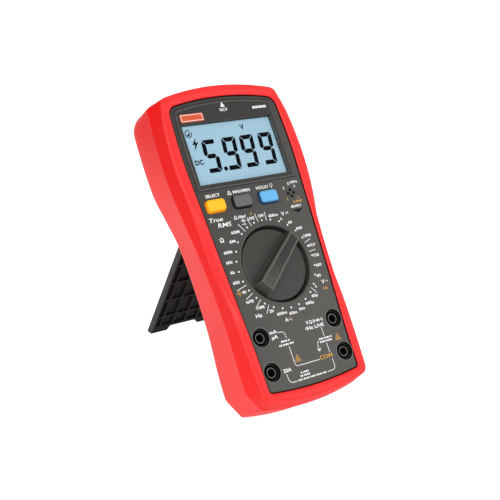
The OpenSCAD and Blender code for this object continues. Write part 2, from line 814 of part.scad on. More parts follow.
module battery_door_screw() {
  color("silver") stance() difference() {
    union() {
      rod(door_screw_at, recess_z + 0.05, recess_z + 0.95, 2.6, 32);
      rod(door_screw_at, recess_z + 0.9, recess_z + 6, 1, 32);
    }
    cross_slot(door_screw_at, recess_z - 1, recess_z + 0.55, 2.8, 0.6);
  }
}

// ---- Stand in its own frame: hinge axis on X, plate along -Y, inner face +Z
// columns of pits between the ribs, [x0, x1]
pit_columns = [[-21.4, -18.8], [-17.2, -9.8], [-8.2, -0.8],
  [0.8, 8.2], [9.8, 17.2], [18.8, 21.4]];
module tilt_stand() {
  inner = stand_t/2;
  color(black) stance() translate([0, hinge_y, hinge_z]) rotate([stand_open, 0, 0])
  difference() {
    union() {
      box(-stand_w/2, stand_w/2, -stand_l - 4, 0, -inner, inner);
      cross_rod([0, 0, 0], stand_w, inner);
    }
    // pits between the ribs of the inner face
    for (i = [0:5]) for (x = pit_columns)
      box(x[0], x[1], -min((i + 1)*rib_pitch + 1.1, stand_l - 6.6),
        -max(i*rib_pitch + 2.7, 8), inner - 1.2, inner + 1);
    // pin holes
    for (s = [-1, 1]) cross_rod([s*stand_w/2, 0, 0], 12, pin_r + 0.02);
    // arch between the feet
    translate([0, -stand_l, 0])
      slab([[-10, 4.6], [10, 4.6], [12.2, -1], [12.2, -8], [-12.2, -8], [-12.2, -1]], -9, 9);
    // feet cut level with the floor
    rotate([-splay, 0, 0])
      translate([-far, -stand_l*cos(splay) - 40, -far]) cube([2*far, 40, 2*far]);
  }
}
module stand_pins() {
  color("silver") stance() for (s = [-1, 1])
    cross_rod([s*(stand_w/2 - 1.2), hinge_y, hinge_z], 8, pin_r);
}

front_case();
rear_case();
front_panel();
display_bezel();
display_window();
lcd_mask();
lcd_glass();
lcd_backlight();
lcd_connector();
badge_plate();
hfe_socket();
hfe_contacts();
ncv_lens();
ncv_antenna();
main_pcb();
pcb_screws();
measurement_ic();
crystal();
ptc_thermistor();
varistors();
filter_capacitor();
current_shunt();
fuse_ma();
fuse_20a();
fuse_clips();
buzzer();
jack_shrouds();
jack_sleeves();
knob();
knob_inlay();
switch_rotor();
rotor_contacts();
detent_balls();
detent_springs();
rotor_clip();
button_select();
button_maxmin();
button_hold();
keypad();
batteries();
battery_contacts();
battery_door();
battery_door_screw();
case_screws();
tilt_stand();
stand_pins();
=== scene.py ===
# A red and grey hand-held multimeter leaning back on its tilt stand.
# Shapes are built in millimetres in the face frame: x to the right, y up the face, z out of the
# face, with the origin at the dial centre. FACE carries them to the world, where the meter stands
# on z = 0 and its face looks towards -Y and up.
import bpy
import bmesh
import math
from mathutils import Matrix, Vector


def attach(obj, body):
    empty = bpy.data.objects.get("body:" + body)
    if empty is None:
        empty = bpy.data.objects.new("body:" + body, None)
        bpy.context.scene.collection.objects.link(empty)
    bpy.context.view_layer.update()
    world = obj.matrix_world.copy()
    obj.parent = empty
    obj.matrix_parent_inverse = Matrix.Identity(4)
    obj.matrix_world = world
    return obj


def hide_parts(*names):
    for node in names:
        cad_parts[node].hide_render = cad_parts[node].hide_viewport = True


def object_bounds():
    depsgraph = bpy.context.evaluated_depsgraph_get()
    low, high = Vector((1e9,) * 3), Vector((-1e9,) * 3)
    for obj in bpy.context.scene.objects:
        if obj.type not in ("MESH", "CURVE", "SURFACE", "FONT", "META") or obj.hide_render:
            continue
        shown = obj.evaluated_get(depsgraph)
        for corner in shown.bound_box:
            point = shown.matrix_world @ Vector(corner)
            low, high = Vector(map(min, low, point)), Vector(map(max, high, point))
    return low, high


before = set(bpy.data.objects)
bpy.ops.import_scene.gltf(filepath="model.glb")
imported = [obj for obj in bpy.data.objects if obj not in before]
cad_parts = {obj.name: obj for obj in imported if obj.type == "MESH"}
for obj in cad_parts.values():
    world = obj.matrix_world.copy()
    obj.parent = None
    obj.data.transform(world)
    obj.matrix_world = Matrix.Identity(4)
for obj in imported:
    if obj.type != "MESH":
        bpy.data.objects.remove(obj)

cad_lo, cad_hi = [v.copy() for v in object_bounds()]
scene = bpy.context.scene

# ------------------------------------------------------------------ stance (mm)
LEAN = math.radians(39.5)
SIN, COS = math.sin(LEAN), math.cos(LEAN)
CASE_TOP, CASE_BOTTOM, DEPTH = 107.3, 76.3, 38.0
HEEL_DEPTH = DEPTH - 6.6
# height of the face origin above the floor
RISE = CASE_BOTTOM*COS + HEEL_DEPTH*SIN
# middle of the flat heel; the face origin is set back so that it lands on world y = 0
HEEL_Y = (-CASE_BOTTOM - (RISE - DEPTH*SIN)/COS)/2
HEEL_Z = ((CASE_BOTTOM*COS - RISE)/SIN - DEPTH)/2
SETBACK = -(HEEL_Y*SIN - HEEL_Z*COS)
STAND_THICK, STAND_WIDTH, STAND_OPEN = 4.1, 46.0, math.radians(62.5)
HINGE_Y = 39.1
HINGE_Z = -DEPTH + STAND_THICK/2
STAND_LENGTH = (RISE + HINGE_Y*COS + HINGE_Z*SIN)/math.cos(STAND_OPEN - LEAN)
MM = 0.001
FACE = Matrix(((MM, 0, 0, 0), (0, SIN*MM, -COS*MM, SETBACK*MM),
               (0, COS*MM, SIN*MM, RISE*MM), (0, 0, 0, 1)))
TO_FACE = FACE.inverted()

# ------------------------------------------------------------------ layout on the face (mm)
BUTTONS_X, BUTTONS_Y = (-26.3, -8.8, 9.1), 37.8
JACK_X, JACK_Y, JACK_PITCH = 25.1, -36.9, 19.05
JACKS = [(x, y) for y in (JACK_Y, JACK_Y - JACK_PITCH) for x in (-JACK_X, JACK_X)]
HFE_X, HFE_Y = 25.5, 37.6
LCD_X, LCD_Y, LCD_WIDTH, LCD_HEIGHT, LCD_Z = -1.0, 67.7, 59.9, 34.5, -1.64
BADGE_X, BADGE_Y = -23.1, 88.9
SCREWS = ((-27, 90.6), (27, 90.6), (-17, -64.2), (17, -64.2))

# ------------------------------------------------------------------ outlines
# side tables: y, half width
CASE_SIDE = [(-76, 37.6), (-50, 38.0), (-24, 37.35), (10, 38.9), (36, 41.9), (60, 44.05),
             (84, 43.5), (107, 41.8)]
REAR_SIDE = [(-76, 40.7), (-50, 40.2), (-25, 38.2), (5, 37.9), (28, 39.1), (45, 42.3),
             (58, 44.75), (84, 44.95), (107, 43.5)]
PANEL_SIDE = [(-68, 30.3), (-45, 30.8), (-20, 32.2), (10, 33.9), (40, 35.5), (65, 36.7),
              (88, 36.0), (100, 35.0)]
EDGE_SIDE = [(-76, 35.6), (-50, 36.6), (-24, 37.4), (10, 38.9), (36, 41.8), (60, 43.55),
             (84, 42.45), (96, 39.85), (107, 36.85)]
BOW_X = 40  # the bow of an end is its fall at this x
FINE, COARSE = (64, 12, 20), (16, 5, 6)  # steps along a side, a corner and half an end


def side_slope(side, j):
    a, b = max(j - 1, 0), min(j + 1, len(side) - 1)
    return (side[b][1] - side[a][1])/(side[b][0] - side[a][0])


def half_width(side, y):
    """Smooth curve through a side table, carried on straight past its ends."""
    i = 0
    while i < len(side) - 2 and y > side[i+1][0]:
        i += 1
    (y0, w0), (y1, w1) = side[i], side[i+1]
    h = y1 - y0
    t = (y - y0)/h
    if t < 0:
        return w0 + side_slope(side, i)*(y - y0)
    if t > 1:
        return w1 + side_slope(side, i+1)*(y - y1)
    return (w0*(1 + 2*t)*(1-t)**2 + h*side_slope(side, i)*t*(1-t)**2
            + w1*t*t*(3 - 2*t) + h*side_slope(side, i+1)*t*t*(t - 1))


def unit(a, b):
    n = math.hypot(a, b)
    return (a/n, b/n)


def corner_arc(centre, radius, start, end, steps):
    """Points strictly between two normals of a round corner."""
    a0, a1 = math.atan2(start[1], start[0]), math.atan2(end[1], end[0])
    angles = [a0 + (a1 - a0)*i/steps for i in range(1, steps)]
    return [(centre[0] + radius*math.cos(a), centre[1] + radius*math.sin(a)) for a in angles]


def outline(side, top, bottom, bows, radii, offset=0.0, steps=FINE):
    """Closed outline, counterclockwise from the middle of the bottom end.

    bows and radii are (top, bottom); sign is 1 for the top end and -1 for the bottom.
    """
    side_steps, corner_steps, end_steps = steps
    top_radius, bottom_radius = radii

    def corner(end, bow, radius, sign):
        y = end - sign*(radius + bow)
        for _ in range(9):
            x = half_width(side, y) - radius
            y = end - sign*bow*(x/BOW_X)**2 - sign*radius
        return x, y

    def end_normal(bow, x, sign):
        n = unit(sign*2*bow*x/BOW_X**2, 1)
        return (sign*n[0], sign*n[1])

    def side_normal(y):
        return unit(1, -(half_width(side, y + 0.5) - half_width(side, y - 0.5)))

    def end_point(end, bow, radius, sign, x):
        n = end_normal(bow, x, sign)
        return (x + (radius + offset)*n[0],
                end - sign*bow*(x/BOW_X)**2 - sign*radius + (radius + offset)*n[1])

    high = corner(top, bows[0], top_radius, 1)
    low = corner(bottom, bows[1], bottom_radius, -1)
    half = [end_point(bottom, bows[1], bottom_radius, -1, low[0]*i/end_steps)
            for i in range(end_steps + 1)]
    half += corner_arc(low, bottom_radius + offset, end_normal(bows[1], low[0], -1),
                       side_normal(low[1]), corner_steps)
    for i in range(side_steps + 1):
        y = low[1] + (high[1] - low[1])*i/side_steps
        n = side_normal(y)
        r = bottom_radius + (top_radius - bottom_radius)*i/side_steps
        half.append((half_width(side, y) - r + (r + offset)*n[0], y + (r + offset)*n[1]))
    half += corner_arc(high, top_radius + offset, side_normal(high[1]),
                       end_normal(bows[0], high[0], 1), corner_steps)
    half += [end_point(top, bows[0], top_radius, 1, high[0]*(1 - i/end_steps))
             for i in range(end_steps + 1)]
    return half + [(-x, y) for x, y in half[-2:0:-1]]


def chop(points, reach):
    """Flatten the two lower corners at 30 degrees, this far from the origin."""
    out = []
    for x, y in points:
        d = max(0.0, 0.866*abs(x) - 0.5*y - reach)
        out.append((x - math.copysign(0.866*d, x), y + 0.5*d))
    return out


def case_outline(offset, steps=FINE):
    """Parting line between the two shells."""
    return chop(outline(CASE_SIDE, CASE_TOP, -CASE_BOTTOM, (5.4, 5), (3.6, 6), offset, steps),
                64.1 + offset)


def edge_outline(offset):
    """Outer edge of the front rim."""
    return outline(EDGE_SIDE, CASE_TOP - 0.6, -CASE_BOTTOM + 1.7, (5.4, 6), (5, 5.2), offset)


def rear_shape(offset, bottom, top_radius, steps):
    return chop(outline(REAR_SIDE, CASE_TOP + 1.2 + 0.2*offset, bottom, (6.4, 5),
                        (top_radius, max(8, 1.5 - offset)), offset, steps), 66.1 + offset)


# inset of the rear outline, y of its bottom end
REAR_BOTTOM = [(0, -76.0), (1.3, -77.4), (4, -79.8), (10, -84.0), (11, -84.7)]


def rear_outline(offset):
    for (d0, y0), (d1, y1) in zip(REAR_BOTTOM, REAR_BOTTOM[1:]):
        if -offset <= d1:
            bottom = y0 + (y1 - y0)*(-offset - d0)/(d1 - d0)
            return rear_shape(offset, bottom, 12.2, FINE)


def cavity_outline(offset):
    return rear_shape(offset, -76.0, 15, COARSE)


def panel_outline(offset):
    return outline(PANEL_SIDE, 99.6, -68, (5, 3.6), (6, 2), offset)


def dip(y):
    """Depth of the hollow along the rim beside the dial."""
    return 4.2*math.exp(-((y - 7)/22)**2)


def lift(points, z, share=0.0):
    """Give an outline its height, less a share of the dip."""
    return [(p[0], p[1], z - share*dip(p[1])) for p in points]


def between(first, second, t):
    return [(a[0]*(1-t) + b[0]*t, a[1]*(1-t) + b[1]*t) for a, b in zip(first, second)]


def circle(x, y, r, n):
    return [(x + r*math.cos(2*math.pi*i/n), y + r*math.sin(2*math.pi*i/n)) for i in range(n)]


def round_rect(cx, cy, length, width, r):
    points = []
    for k, (sx, sy) in enumerate(((1, -1), (1, 1), (-1, 1), (-1, -1))):
        for i in range(9):
            a = math.radians(-90 + 90*k + 90*i/8)
            points.append((cx + sx*(length/2 - r) + r*math.cos(a),
                           cy + sy*(width/2 - r) + r*math.sin(a)))
    return points


def clip(points, a, b, c):
    """Keep the part of a polygon where a*x + b*y <= c."""
    out = []
    for p, q in zip(points, points[1:] + points[:1]):
        dp, dq = a*p[0] + b*p[1] - c, a*q[0] + b*q[1] - c
        if dp <= 0:
            out.append(p)
        if (dp < 0 < dq) or (dq < 0 < dp):
            t = dp/(dp - dq)
            out.append((p[0] + t*(q[0] - p[0]), p[1] + t*(q[1] - p[1])))
    return out


def display_field(offset, bottom, right):
    """Panel outline cut off below and to the right, as the display frame is."""
    return clip(clip(panel_outline(offset), 0, -1, -bottom), 1, 0, right)


# ------------------------------------------------------------------ mesh helpers
def to_object(bm, name):
    mesh = bpy.data.meshes.new(name)
    bm.to_mesh(mesh)
    bm.free()
    made = bpy.data.objects.new(name, mesh)
    scene.collection.objects.link(made)
    return made


def loft(rows, loop=False, name="blank"):
    """Skin over rows of points, closed on itself or capped at both ends."""
    bm = bmesh.new()
    grid = [[bm.verts.new(p) for p in row] for row in rows]
    pairs = list(zip(grid, grid[1:]))
    if loop:
        pairs.append((grid[-1], grid[0]))
    n = len(grid[0])
    for first, second in pairs:
        for i in range(n):
            k = (i + 1) % n
            bm.faces.new((first[i], first[k], second[k], second[i]))
    if not loop:
        bm.faces.new(grid[0])
        bm.faces.new(grid[-1])
    bmesh.ops.recalc_face_normals(bm, faces=bm.faces)
    return to_object(bm, name)


def prism(points, z0, z1):
    return loft([lift(points, z0), lift(points, z1)])


def disc(x, y, z0, z1, r, segments=64):
    return prism(circle(x, y, r, segments), z0, z1)


def box(x0, x1, y0, y1, z0, z1):
    return prism([(x0, y0), (x1, y0), (x1, y1), (x0, y1)], z0, z1)


def lathe(profile, x=0.0, y=0.0, segments=128, loop=True):
    """Turn an (r, z) profile about z; without loop its ends are capped."""
    return loft([lift(circle(x, y, r, segments), z) for r, z in profile], loop)


def apply_modifiers(base):
    depsgraph = bpy.context.evaluated_depsgraph_get()
    mesh = bpy.data.meshes.new_from_object(base.evaluated_get(depsgraph))
    base.modifiers.clear()
    base.data = mesh


def carve(base, cutters, operation="DIFFERENCE"):
    for cutter in cutters:
        cut = base.modifiers.new("cut", "BOOLEAN")
        cut.operation = operation
        cut.solver = "EXACT"
        cut.object = cutter
    apply_modifiers(base)
    for cutter in cutters:
        bpy.data.objects.remove(cutter)


def join(name, parts):
    bm = bmesh.new()
    for part in parts:
        bm.from_mesh(part.data)
    for part in parts:
        bpy.data.objects.remove(part)
    return to_object(bm, name)


def finish(piece, name, body, material, node=None, sharp=32.0, bevel=0.0,
           segments=2, limit=40.0):
    """Take a piece to the world, shade it, bevel it (mm), hang it on its body and hide the part it
    replaces.
    """
    mesh = piece.data
    mesh.transform(FACE)
    piece.name = name
    mesh.name = name
    mesh.materials.clear()
    mesh.materials.append(MATERIALS[material])
    for p in mesh.polygons:
        p.use_smooth = True
    if bevel > 0:
        edge = piece.modifiers.new("edge", "BEVEL")
        edge.width = bevel*MM
        edge.segments = segments
        edge.limit_method = "ANGLE"
        edge.angle_limit = math.radians(limit)
        edge.harden_normals = True
        edge.use_clamp_overlap = True
        sharp = 89
    mesh.set_sharp_from_angle(angle=math.radians(sharp))
    mesh.update()
    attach(piece, body)
    if node:
        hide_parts(node)


def paint(piece, materials, choose):
    """Add further materials and choose the slot of every polygon."""
    for name in materials:
        piece.data.materials.append(MATERIALS[name])
    for p in piece.data.polygons:
        p.material_index = choose(p)


# ------------------------------------------------------------------ shader helpers
def linear(colour):
    """0-255 sRGB to linear."""
    shares = [v/255 for v in colour]
    return tuple(v/12.92 if v <= 0.04045 else ((v + 0.055)/1.055)**2.4 for v in shares)


def add_node(tree, kind, inputs, **settings):
    """New shader node; an input given as a socket is linked."""
    made = tree.nodes.new("ShaderNode" + kind)
    for key, value in settings.items():
        setattr(made, key, value)
    for key, value in inputs.items():
        if isinstance(value, bpy.types.NodeSocket):
            tree.links.new(value, made.inputs[key])
        else:
            made.inputs[key].default_value = value
    return made


def noise(tree, vector, scale, detail):
    return add_node(tree, "TexNoise", {"Vector": vector, "Scale": scale,
                                       "Detail": detail}).outputs["Fac"]


def ramp(tree, factor, *stops):
    made = add_node(tree, "ValToRGB", {"Fac": factor})
    for element, (position, colour) in zip(made.color_ramp.elements, stops):
        element.position = position
        element.color = (*colour, 1)
    return made.outputs["Color"]


def remap(tree, value, source=(0, 1), target=(0, 1)):
    return add_node(tree, "MapRange", {
        "Value": value, "From Min": source[0], "From Max": source[1],
        "To Min": target[0], "To Max": target[1]}).outputs["Result"]


def dot(tree, first, second):
    return add_node(tree, "VectorMath", {0: first, 1: second},
                    operation="DOT_PRODUCT").outputs["Value"]


def mix(tree, factor, first, second, blend="MIX"):
    return add_node(tree, "Mix", {"Factor": factor, "A": first, "B": second},
                    data_type="RGBA", blend_type=blend).outputs["Result"]


def material(name, colour, rough, vary, bump, spec, patches=45, grain=1600, metal=0.0, coat=0.0,
             glow=0.0, soft=0.0, painted_edge_highlight=None, tone=None, turned_away_shade=None, flank=None):
    """Moulded surface with soft patches and fine grain.

    vary    share by which the patches are darker and lighter
    patches, grain   noise scales of the patches and of the grain
    glow    emission strength; soft: subsurface weight
    painted_edge_highlight   amount, colour and radius (m) of a highlight painted on rounded edges
    tone    direction, start, end (m) and colour factor of a slow change
    turned_away_shade  colour of polygons that look away from the meter's front, a painted shade
    flank   start and end |x| (m) and colour of the narrow sides, a painted highlight
    """
    made = bpy.data.materials.new(name)
    made.use_nodes = True
    tree = made.node_tree
    shader = tree.nodes["Principled BSDF"]
    base = linear(colour)
    place = add_node(tree, "TexCoord", {}).outputs["Object"]
    blotches = noise(tree, place, patches, 4)
    grains = noise(tree, place, grain, 3)
    out = ramp(tree, blotches, (0.3, [v*(1 - vary) for v in base]),
               (0.7, [min(1, v*(1 + vary)) for v in base]))
    specks = ramp(tree, grains, (0.35, (0.93, 0.93, 0.93)), (0.6, (1, 1, 1)))
    out = mix(tree, 0.7, out, specks, "MULTIPLY")
    if tone:
        direction, start, end, factor = tone
        along = remap(tree, dot(tree, place, direction), (start, end))
        out = mix(tree, along, out, (*factor, 1), "MULTIPLY")
    # painted shade: polygons that look away from the meter's front take a darker colour
    if turned_away_shade:
        normal = add_node(tree, "NewGeometry", {}).outputs["Normal"]
        away = remap(tree, dot(tree, normal, FRONT), (0.85, 0.5))
        out = mix(tree, away, out, (*linear(turned_away_shade), 1))
    # painted highlight: the narrow sides beyond this |x| take a lighter colour
    if flank:
        x = add_node(tree, "SeparateXYZ", {"Vector": place}).outputs["X"]
        reach = add_node(tree, "Math", {0: x}, operation="ABSOLUTE").outputs["Value"]
        out = mix(tree, remap(tree, reach, flank[:2]), out, (*linear(flank[2]), 1))
    # painted highlight: rounded edges are mixed towards a lighter colour
    if painted_edge_highlight:
        amount, highlight_colour, radius = painted_edge_highlight
        rounded = add_node(tree, "Bevel", {"Radius": radius}, samples=4).outputs["Normal"]
        normal = add_node(tree, "NewGeometry", {}).outputs["Normal"]
        bend = remap(tree, dot(tree, rounded, normal), (0.995, 0.90), (0, amount))
        out = mix(tree, bend, out, (*linear(highlight_colour), 1))
    tree.links.new(out, shader.inputs["Base Color"])
    # the patches also vary the roughness by 12 per cent
    roughness = remap(tree, blotches, target=(rough*(1 - 0.12), min(1, rough*(1 + 0.12))))
    tree.links.new(roughness, shader.inputs["Roughness"])
    relief = add_node(tree, "Bump", {"Strength": bump, "Distance": 0.0002, "Height": grains})
    tree.links.new(relief.outputs["Normal"], shader.inputs["Normal"])
    shader.inputs["Specular IOR Level"].default_value = spec
    shader.inputs["Metallic"].default_value = metal
    shader.inputs["Coat Weight"].default_value = coat
    if soft:
        shader.inputs["Subsurface Weight"].default_value = soft
        shader.inputs["Subsurface Radius"].default_value = (0.002, 0.0008, 0.0005)
    if glow:
        shader.inputs["Emission Strength"].default_value = glow
        tree.links.new(out, shader.inputs["Emission Color"])
    return made


def window_material():
    """Clear window: mostly see-through with a weak gloss."""
    made = bpy.data.materials.new("display_clear")
    made.use_nodes = True
    tree = made.node_tree
    tree.nodes.remove(tree.nodes["Principled BSDF"])
    clear = add_node(tree, "BsdfTransparent", {"Color": (0.97, 0.985, 0.99, 1)})
    place = add_node(tree, "TexCoord", {}).outputs["Object"]
    roughness = remap(tree, noise(tree, place, 300, 4), target=(0.12, 0.22))
    gloss = add_node(tree, "BsdfGlossy", {"Color": (1, 1, 1, 1), "Roughness": roughness})
    fresnel = add_node(tree, "Fresnel", {"IOR": 1.3}).outputs["Fac"]
    share = add_node(tree, "Math", {0: fresnel, 1: 0.14}, operation="MULTIPLY")
    both = add_node(tree, "MixShader", {"Fac": share.outputs["Value"],
                                        1: clear.outputs["BSDF"], 2: gloss.outputs["BSDF"]})
    tree.links.new(both.outputs["Shader"], tree.nodes["Material Output"].inputs["Surface"])
    return made


# ------------------------------------------------------------------ materials
UP = (0, 0, 1.0)
FRONT = (0.0, -COS, SIN)
LOWER_RIGHT = (0.75, -0.66*SIN, -0.66*COS)
ALONG_BAR = (0.766, 0.643*SIN, 0.643*COS)

# name, sRGB colour, roughness, variation, bump, specular level, other settings
FINISHES = (
    # case; the band colour is a darker copy of the rim red as painted shade, lighter and pinker
    # towards the bottom; the side colour is a lighter copy as painted sheen, darker and deeper red
    # towards the top
    ("red_rim", (246, 40, 40), 0.42, 0.03, 0.04, 0.3, dict(painted_edge_highlight=(0.35, (255, 130, 130), 0.0006))),
    # painted shade in the gap round the panel
    ("gap_painted_shade", (44, 9, 9), 0.8, 0.06, 0.05, 0.05, {}),
    ("red_band_painted_shade", (222, 11, 11), 0.5, 0.03, 0.05, 0.1,
     dict(painted_edge_highlight=(0.2, (255, 120, 120), 0.0005), tone=(UP, 0.125, 0.03, (1.12, 5.6, 5.6)))),
    ("red_side_painted_sheen", (234, 66, 65), 0.55, 0.03, 0.05, 0.3,
     dict(painted_edge_highlight=(0.15, (255, 140, 140), 0.0006), tone=(UP, 0.104, 0.138, (0.86, 0.3, 0.3)))),
    # panel and display frame; painted light makes the panel grey lighter towards the lower right
    ("panel_grey", (56, 54, 51), 0.55, 0.05, 0.1, 0.35,
     dict(grain=2600, painted_edge_highlight=(0.3, (110, 108, 102), 0.00025),
          tone=(LOWER_RIGHT, -0.11, -0.02, (1.9, 1.95, 2.0)))),
    # painted highlight: lighter grey for the thin rim round the dial well
    ("well_rim_painted_highlight", (76, 74, 70), 0.45, 0.05, 0.05, 0.4, {}),
    ("bezel_grey", (38, 37, 34), 0.48, 0.05, 0.06, 0.4,
     dict(grain=2600, painted_edge_highlight=(0.5, (118, 116, 110), 0.00025))),
    # painted shade: darker grey for the inside of the dial well
    ("well_painted_shade", (54, 52, 49), 0.6, 0.06, 0.06, 0.2, {}),
    # painted highlight: lighter grey for the rims round the sockets and the line round the display
    # frame
    ("edge_line_painted_highlight", (112, 110, 104), 0.45, 0.04, 0.04, 0.4, {}),
    ("badge_orange", (206, 82, 40), 0.35, 0.04, 0.03, 0.4,
     dict(painted_edge_highlight=(0.5, (250, 170, 140), 0.0003))),
    # knob; the lighter edge and rim colours are painted highlights, the darker top colour painted
    # shade
    ("knob_grey", (50, 48, 44), 0.5, 0.05, 0.08, 0.4,
     dict(grain=2400, painted_edge_highlight=(0.6, (140, 138, 130), 0.0003))),
    ("knob_rim_painted_highlight", (66, 64, 60), 0.45, 0.06, 0.06, 0.4, {}),
    ("knob_edge_painted_highlight", (112, 110, 104), 0.45, 0.06, 0.06, 0.35, {}),
    ("knob_top_painted_shade", (40, 38, 35), 0.5, 0.05, 0.08, 0.3, dict(grain=2400)),
    ("inlay_grey", (42, 40, 37), 0.5, 0.05, 0.08, 0.3,
     dict(grain=2400, painted_edge_highlight=(0.5, (140, 138, 130), 0.00025),
          tone=(ALONG_BAR, 0.050, 0.031, (2.7, 2.7, 2.7)))),
    # sockets and stand; faces that look away from the front get painted shade, and the stand's
    # narrow sides a painted highlight
    ("socket_black", (17, 16, 14), 0.45, 0.08, 0.05, 0.25,
     dict(painted_edge_highlight=(0.2, (70, 68, 64), 0.00012), turned_away_shade=(10, 9, 8))),
    ("sleeve_grey", (26, 25, 23), 0.4, 0.06, 0.03, 0.3, dict(turned_away_shade=(6, 6, 6))),
    ("ring_grey", (112, 111, 107), 0.4, 0.06, 0.03, 0.4, dict(turned_away_shade=(14, 13, 12))),
    ("stand_black", (23, 22, 19), 0.5, 0.08, 0.08, 0.1,
     dict(grain=2200, painted_edge_highlight=(0.25, (70, 68, 64), 0.0004), flank=(0.0222, 0.0226, (62, 61, 58)))),
    # buttons; each darker _side colour is painted shade on the walls below the rounded top
    ("button_yellow", (255, 186, 20), 0.45, 0.03, 0.03, 0.3,
     dict(soft=0.1, painted_edge_highlight=(0.5, (255, 222, 120), 0.0005))),
    ("button_yellow_side", (250, 156, 18), 0.5, 0.03, 0.03, 0.3, {}),
    ("button_grey", (94, 94, 96), 0.45, 0.04, 0.04, 0.35,
     dict(painted_edge_highlight=(0.5, (146, 146, 148), 0.0005))),
    ("button_grey_side", (14, 14, 14), 0.5, 0.04, 0.04, 0.3, {}),
    ("button_blue", (98, 174, 226), 0.45, 0.03, 0.03, 0.3,
     dict(soft=0.1, painted_edge_highlight=(0.6, (176, 220, 250), 0.0005))),
    ("button_blue_side", (24, 72, 106), 0.5, 0.03, 0.03, 0.3, {}),
    # print and display
    ("print_white", (246, 246, 244), 0.55, 0.03, 0.05, 0.5, {}),
    ("print_amber", (204, 148, 58), 0.55, 0.05, 0.05, 0.5, {}),
    ("lcd_lit", (151, 180, 196), 0.4, 0.015, 0.0, 0.15, dict(patches=18, glow=0.2)),
    ("lcd_segment", (2, 4, 8), 0.6, 0.1, 0.02, 0.0, {}),
    ("mask_black", (40, 41, 42), 0.5, 0.08, 0.05, 0.5, {}),
    # inner parts
    ("steel", (168, 168, 170), 0.32, 0.08, 0.03, 0.5,
     dict(metal=1.0, painted_edge_highlight=(0.3, (255, 255, 255), 0.0004))),
    ("brass", (200, 160, 80), 0.32, 0.08, 0.03, 0.5, dict(metal=1.0)),
    ("board_green", (24, 92, 46), 0.35, 0.12, 0.05, 0.5, dict(patches=160, coat=0.3)),
    ("chip_black", (28, 28, 30), 0.55, 0.1, 0.1, 0.5, {}),
    ("cell_sleeve", (196, 150, 60), 0.3, 0.1, 0.02, 0.5, dict(coat=0.3)),
    ("ceramic", (228, 224, 212), 0.4, 0.05, 0.04, 0.5, {}),
    ("disc_blue", (42, 92, 168), 0.35, 0.08, 0.04, 0.5, {}),
    ("silicone", (188, 194, 198), 0.5, 0.05, 0.05, 0.5, dict(soft=0.2)),
    ("acetal", (226, 220, 200), 0.4, 0.04, 0.03, 0.5, {}),
    ("zebra_pink", (224, 150, 158), 0.5, 0.1, 0.04, 0.5, {}),
)
MATERIALS = {row[0]: material(*row[:-1], **row[-1]) for row in FINISHES}
MATERIALS["display_clear"] = window_material()

# ------------------------------------------------------------------ front shell
PART_Z = -11.0  # height where the shells meet
# inner lip: offset from the panel outline, z
LIP = [(0.3, -2.4), (0.3, -1.2), (0.32, -0.5), (0.42, 0.05), (0.75, 0.5), (1.25, 0.82),
       (1.9, 1.0), (2.5, 1.14)]
# outer edge of the rim: offset from the edge outline, z, share of the dip
RIM_EDGE = [(-1.7, 0.95, 0.7), (-0.95, 0.76, 0.86), (-0.45, 0.5, 0.95), (-0.14, 0.16, 1.0),
            (0.0, -0.25, 1.0)]
rows = [lift(panel_outline(offset), z) for offset, z in LIP]
lip_end, edge_start = panel_outline(2.5), edge_outline(-1.7)
rows.append(lift(between(lip_end, edge_start, 0.35), 1.2, 0.08))
rows.append(lift(between(lip_end, edge_start, 0.7), 1.14, 0.38))
rows += [lift(edge_outline(offset), z, share) for offset, z, share in RIM_EDGE]
band_start = len(rows) - 1
rim_edge, part_edge = edge_outline(0.0), case_outline(0.12)
for t in (0.05, 0.2, 0.4, 0.6, 0.8, 0.94, 0.985):
    rows.append([(x, y, (-0.25 - dip(a[1]))*(1-t) - 10.85*t)
                 for a, (x, y) in zip(rim_edge, between(rim_edge, part_edge, t))])
band_end = len(rows)
rows += [lift(case_outline(-0.1), PART_Z), lift(case_outline(-2.4), PART_Z),
         lift(edge_outline(-2.4), -5.4), lift(edge_outline(-2.4), -4.9),
         lift(panel_outline(-0.5), -4.9), lift(panel_outline(-0.5), -2.4)]
front = loft(rows, loop=True)
finish(front, "shell_front", "meter", "red_rim", node="front_case", sharp=50)


def front_slot(p):
    """Band in painted shade down the sides, painted shade in the gap round the panel."""
    row = p.index//len(rows[0])
    if band_start <= row < band_end:
        return 1
    return 2 if row < 3 or row == len(rows) - 1 else 0


paint(front, ("red_band_painted_shade", "gap_painted_shade"), front_slot)

# ------------------------------------------------------------------ rear shell
# flank: z, share of the way from the parting line to the rear outline
FLANK = ((-13.5, 0.12), (-16, 0.34), (-18.5, 0.58), (-21, 0.8), (-23.5, 0.94), (-25.5, 1.0))
# rounding to the back: offset from the rear outline, z
BACK = ((-0.12, -27), (-0.5, -28.5), (-1.15, -29.9), (-2.05, -31.1), (-3.2, -32.2),
        (-4.7, -33.5), (-6.6, -35.1), (-8.2, -36.5), (-9.3, -37.4), (-10.2, -37.85),
        (-11.0, -38.0))
RECESS_Z = -33.5  # floor of the stand's recess
part_edge, rear_edge = case_outline(0.1), rear_outline(0.0)
rows = [lift(case_outline(-0.1), PART_Z), lift(case_outline(0.06), -11.15), lift(part_edge, -11.6)]
rows += [lift(between(part_edge, rear_edge, t), z) for z, t in FLANK]
rows += [lift(rear_outline(offset), z) for offset, z in BACK]
rear = loft(rows)

case_wall, rear_wall = case_outline(-2.4, COARSE), cavity_outline(-2.4)
cavity = loft([lift(case_wall, -10), lift(between(case_wall, rear_wall, 0.5), -18),
               lift(rear_wall, -25.5), lift(cavity_outline(-5.8), -31),
               lift(cavity_outline(-10.4), -35.6)])
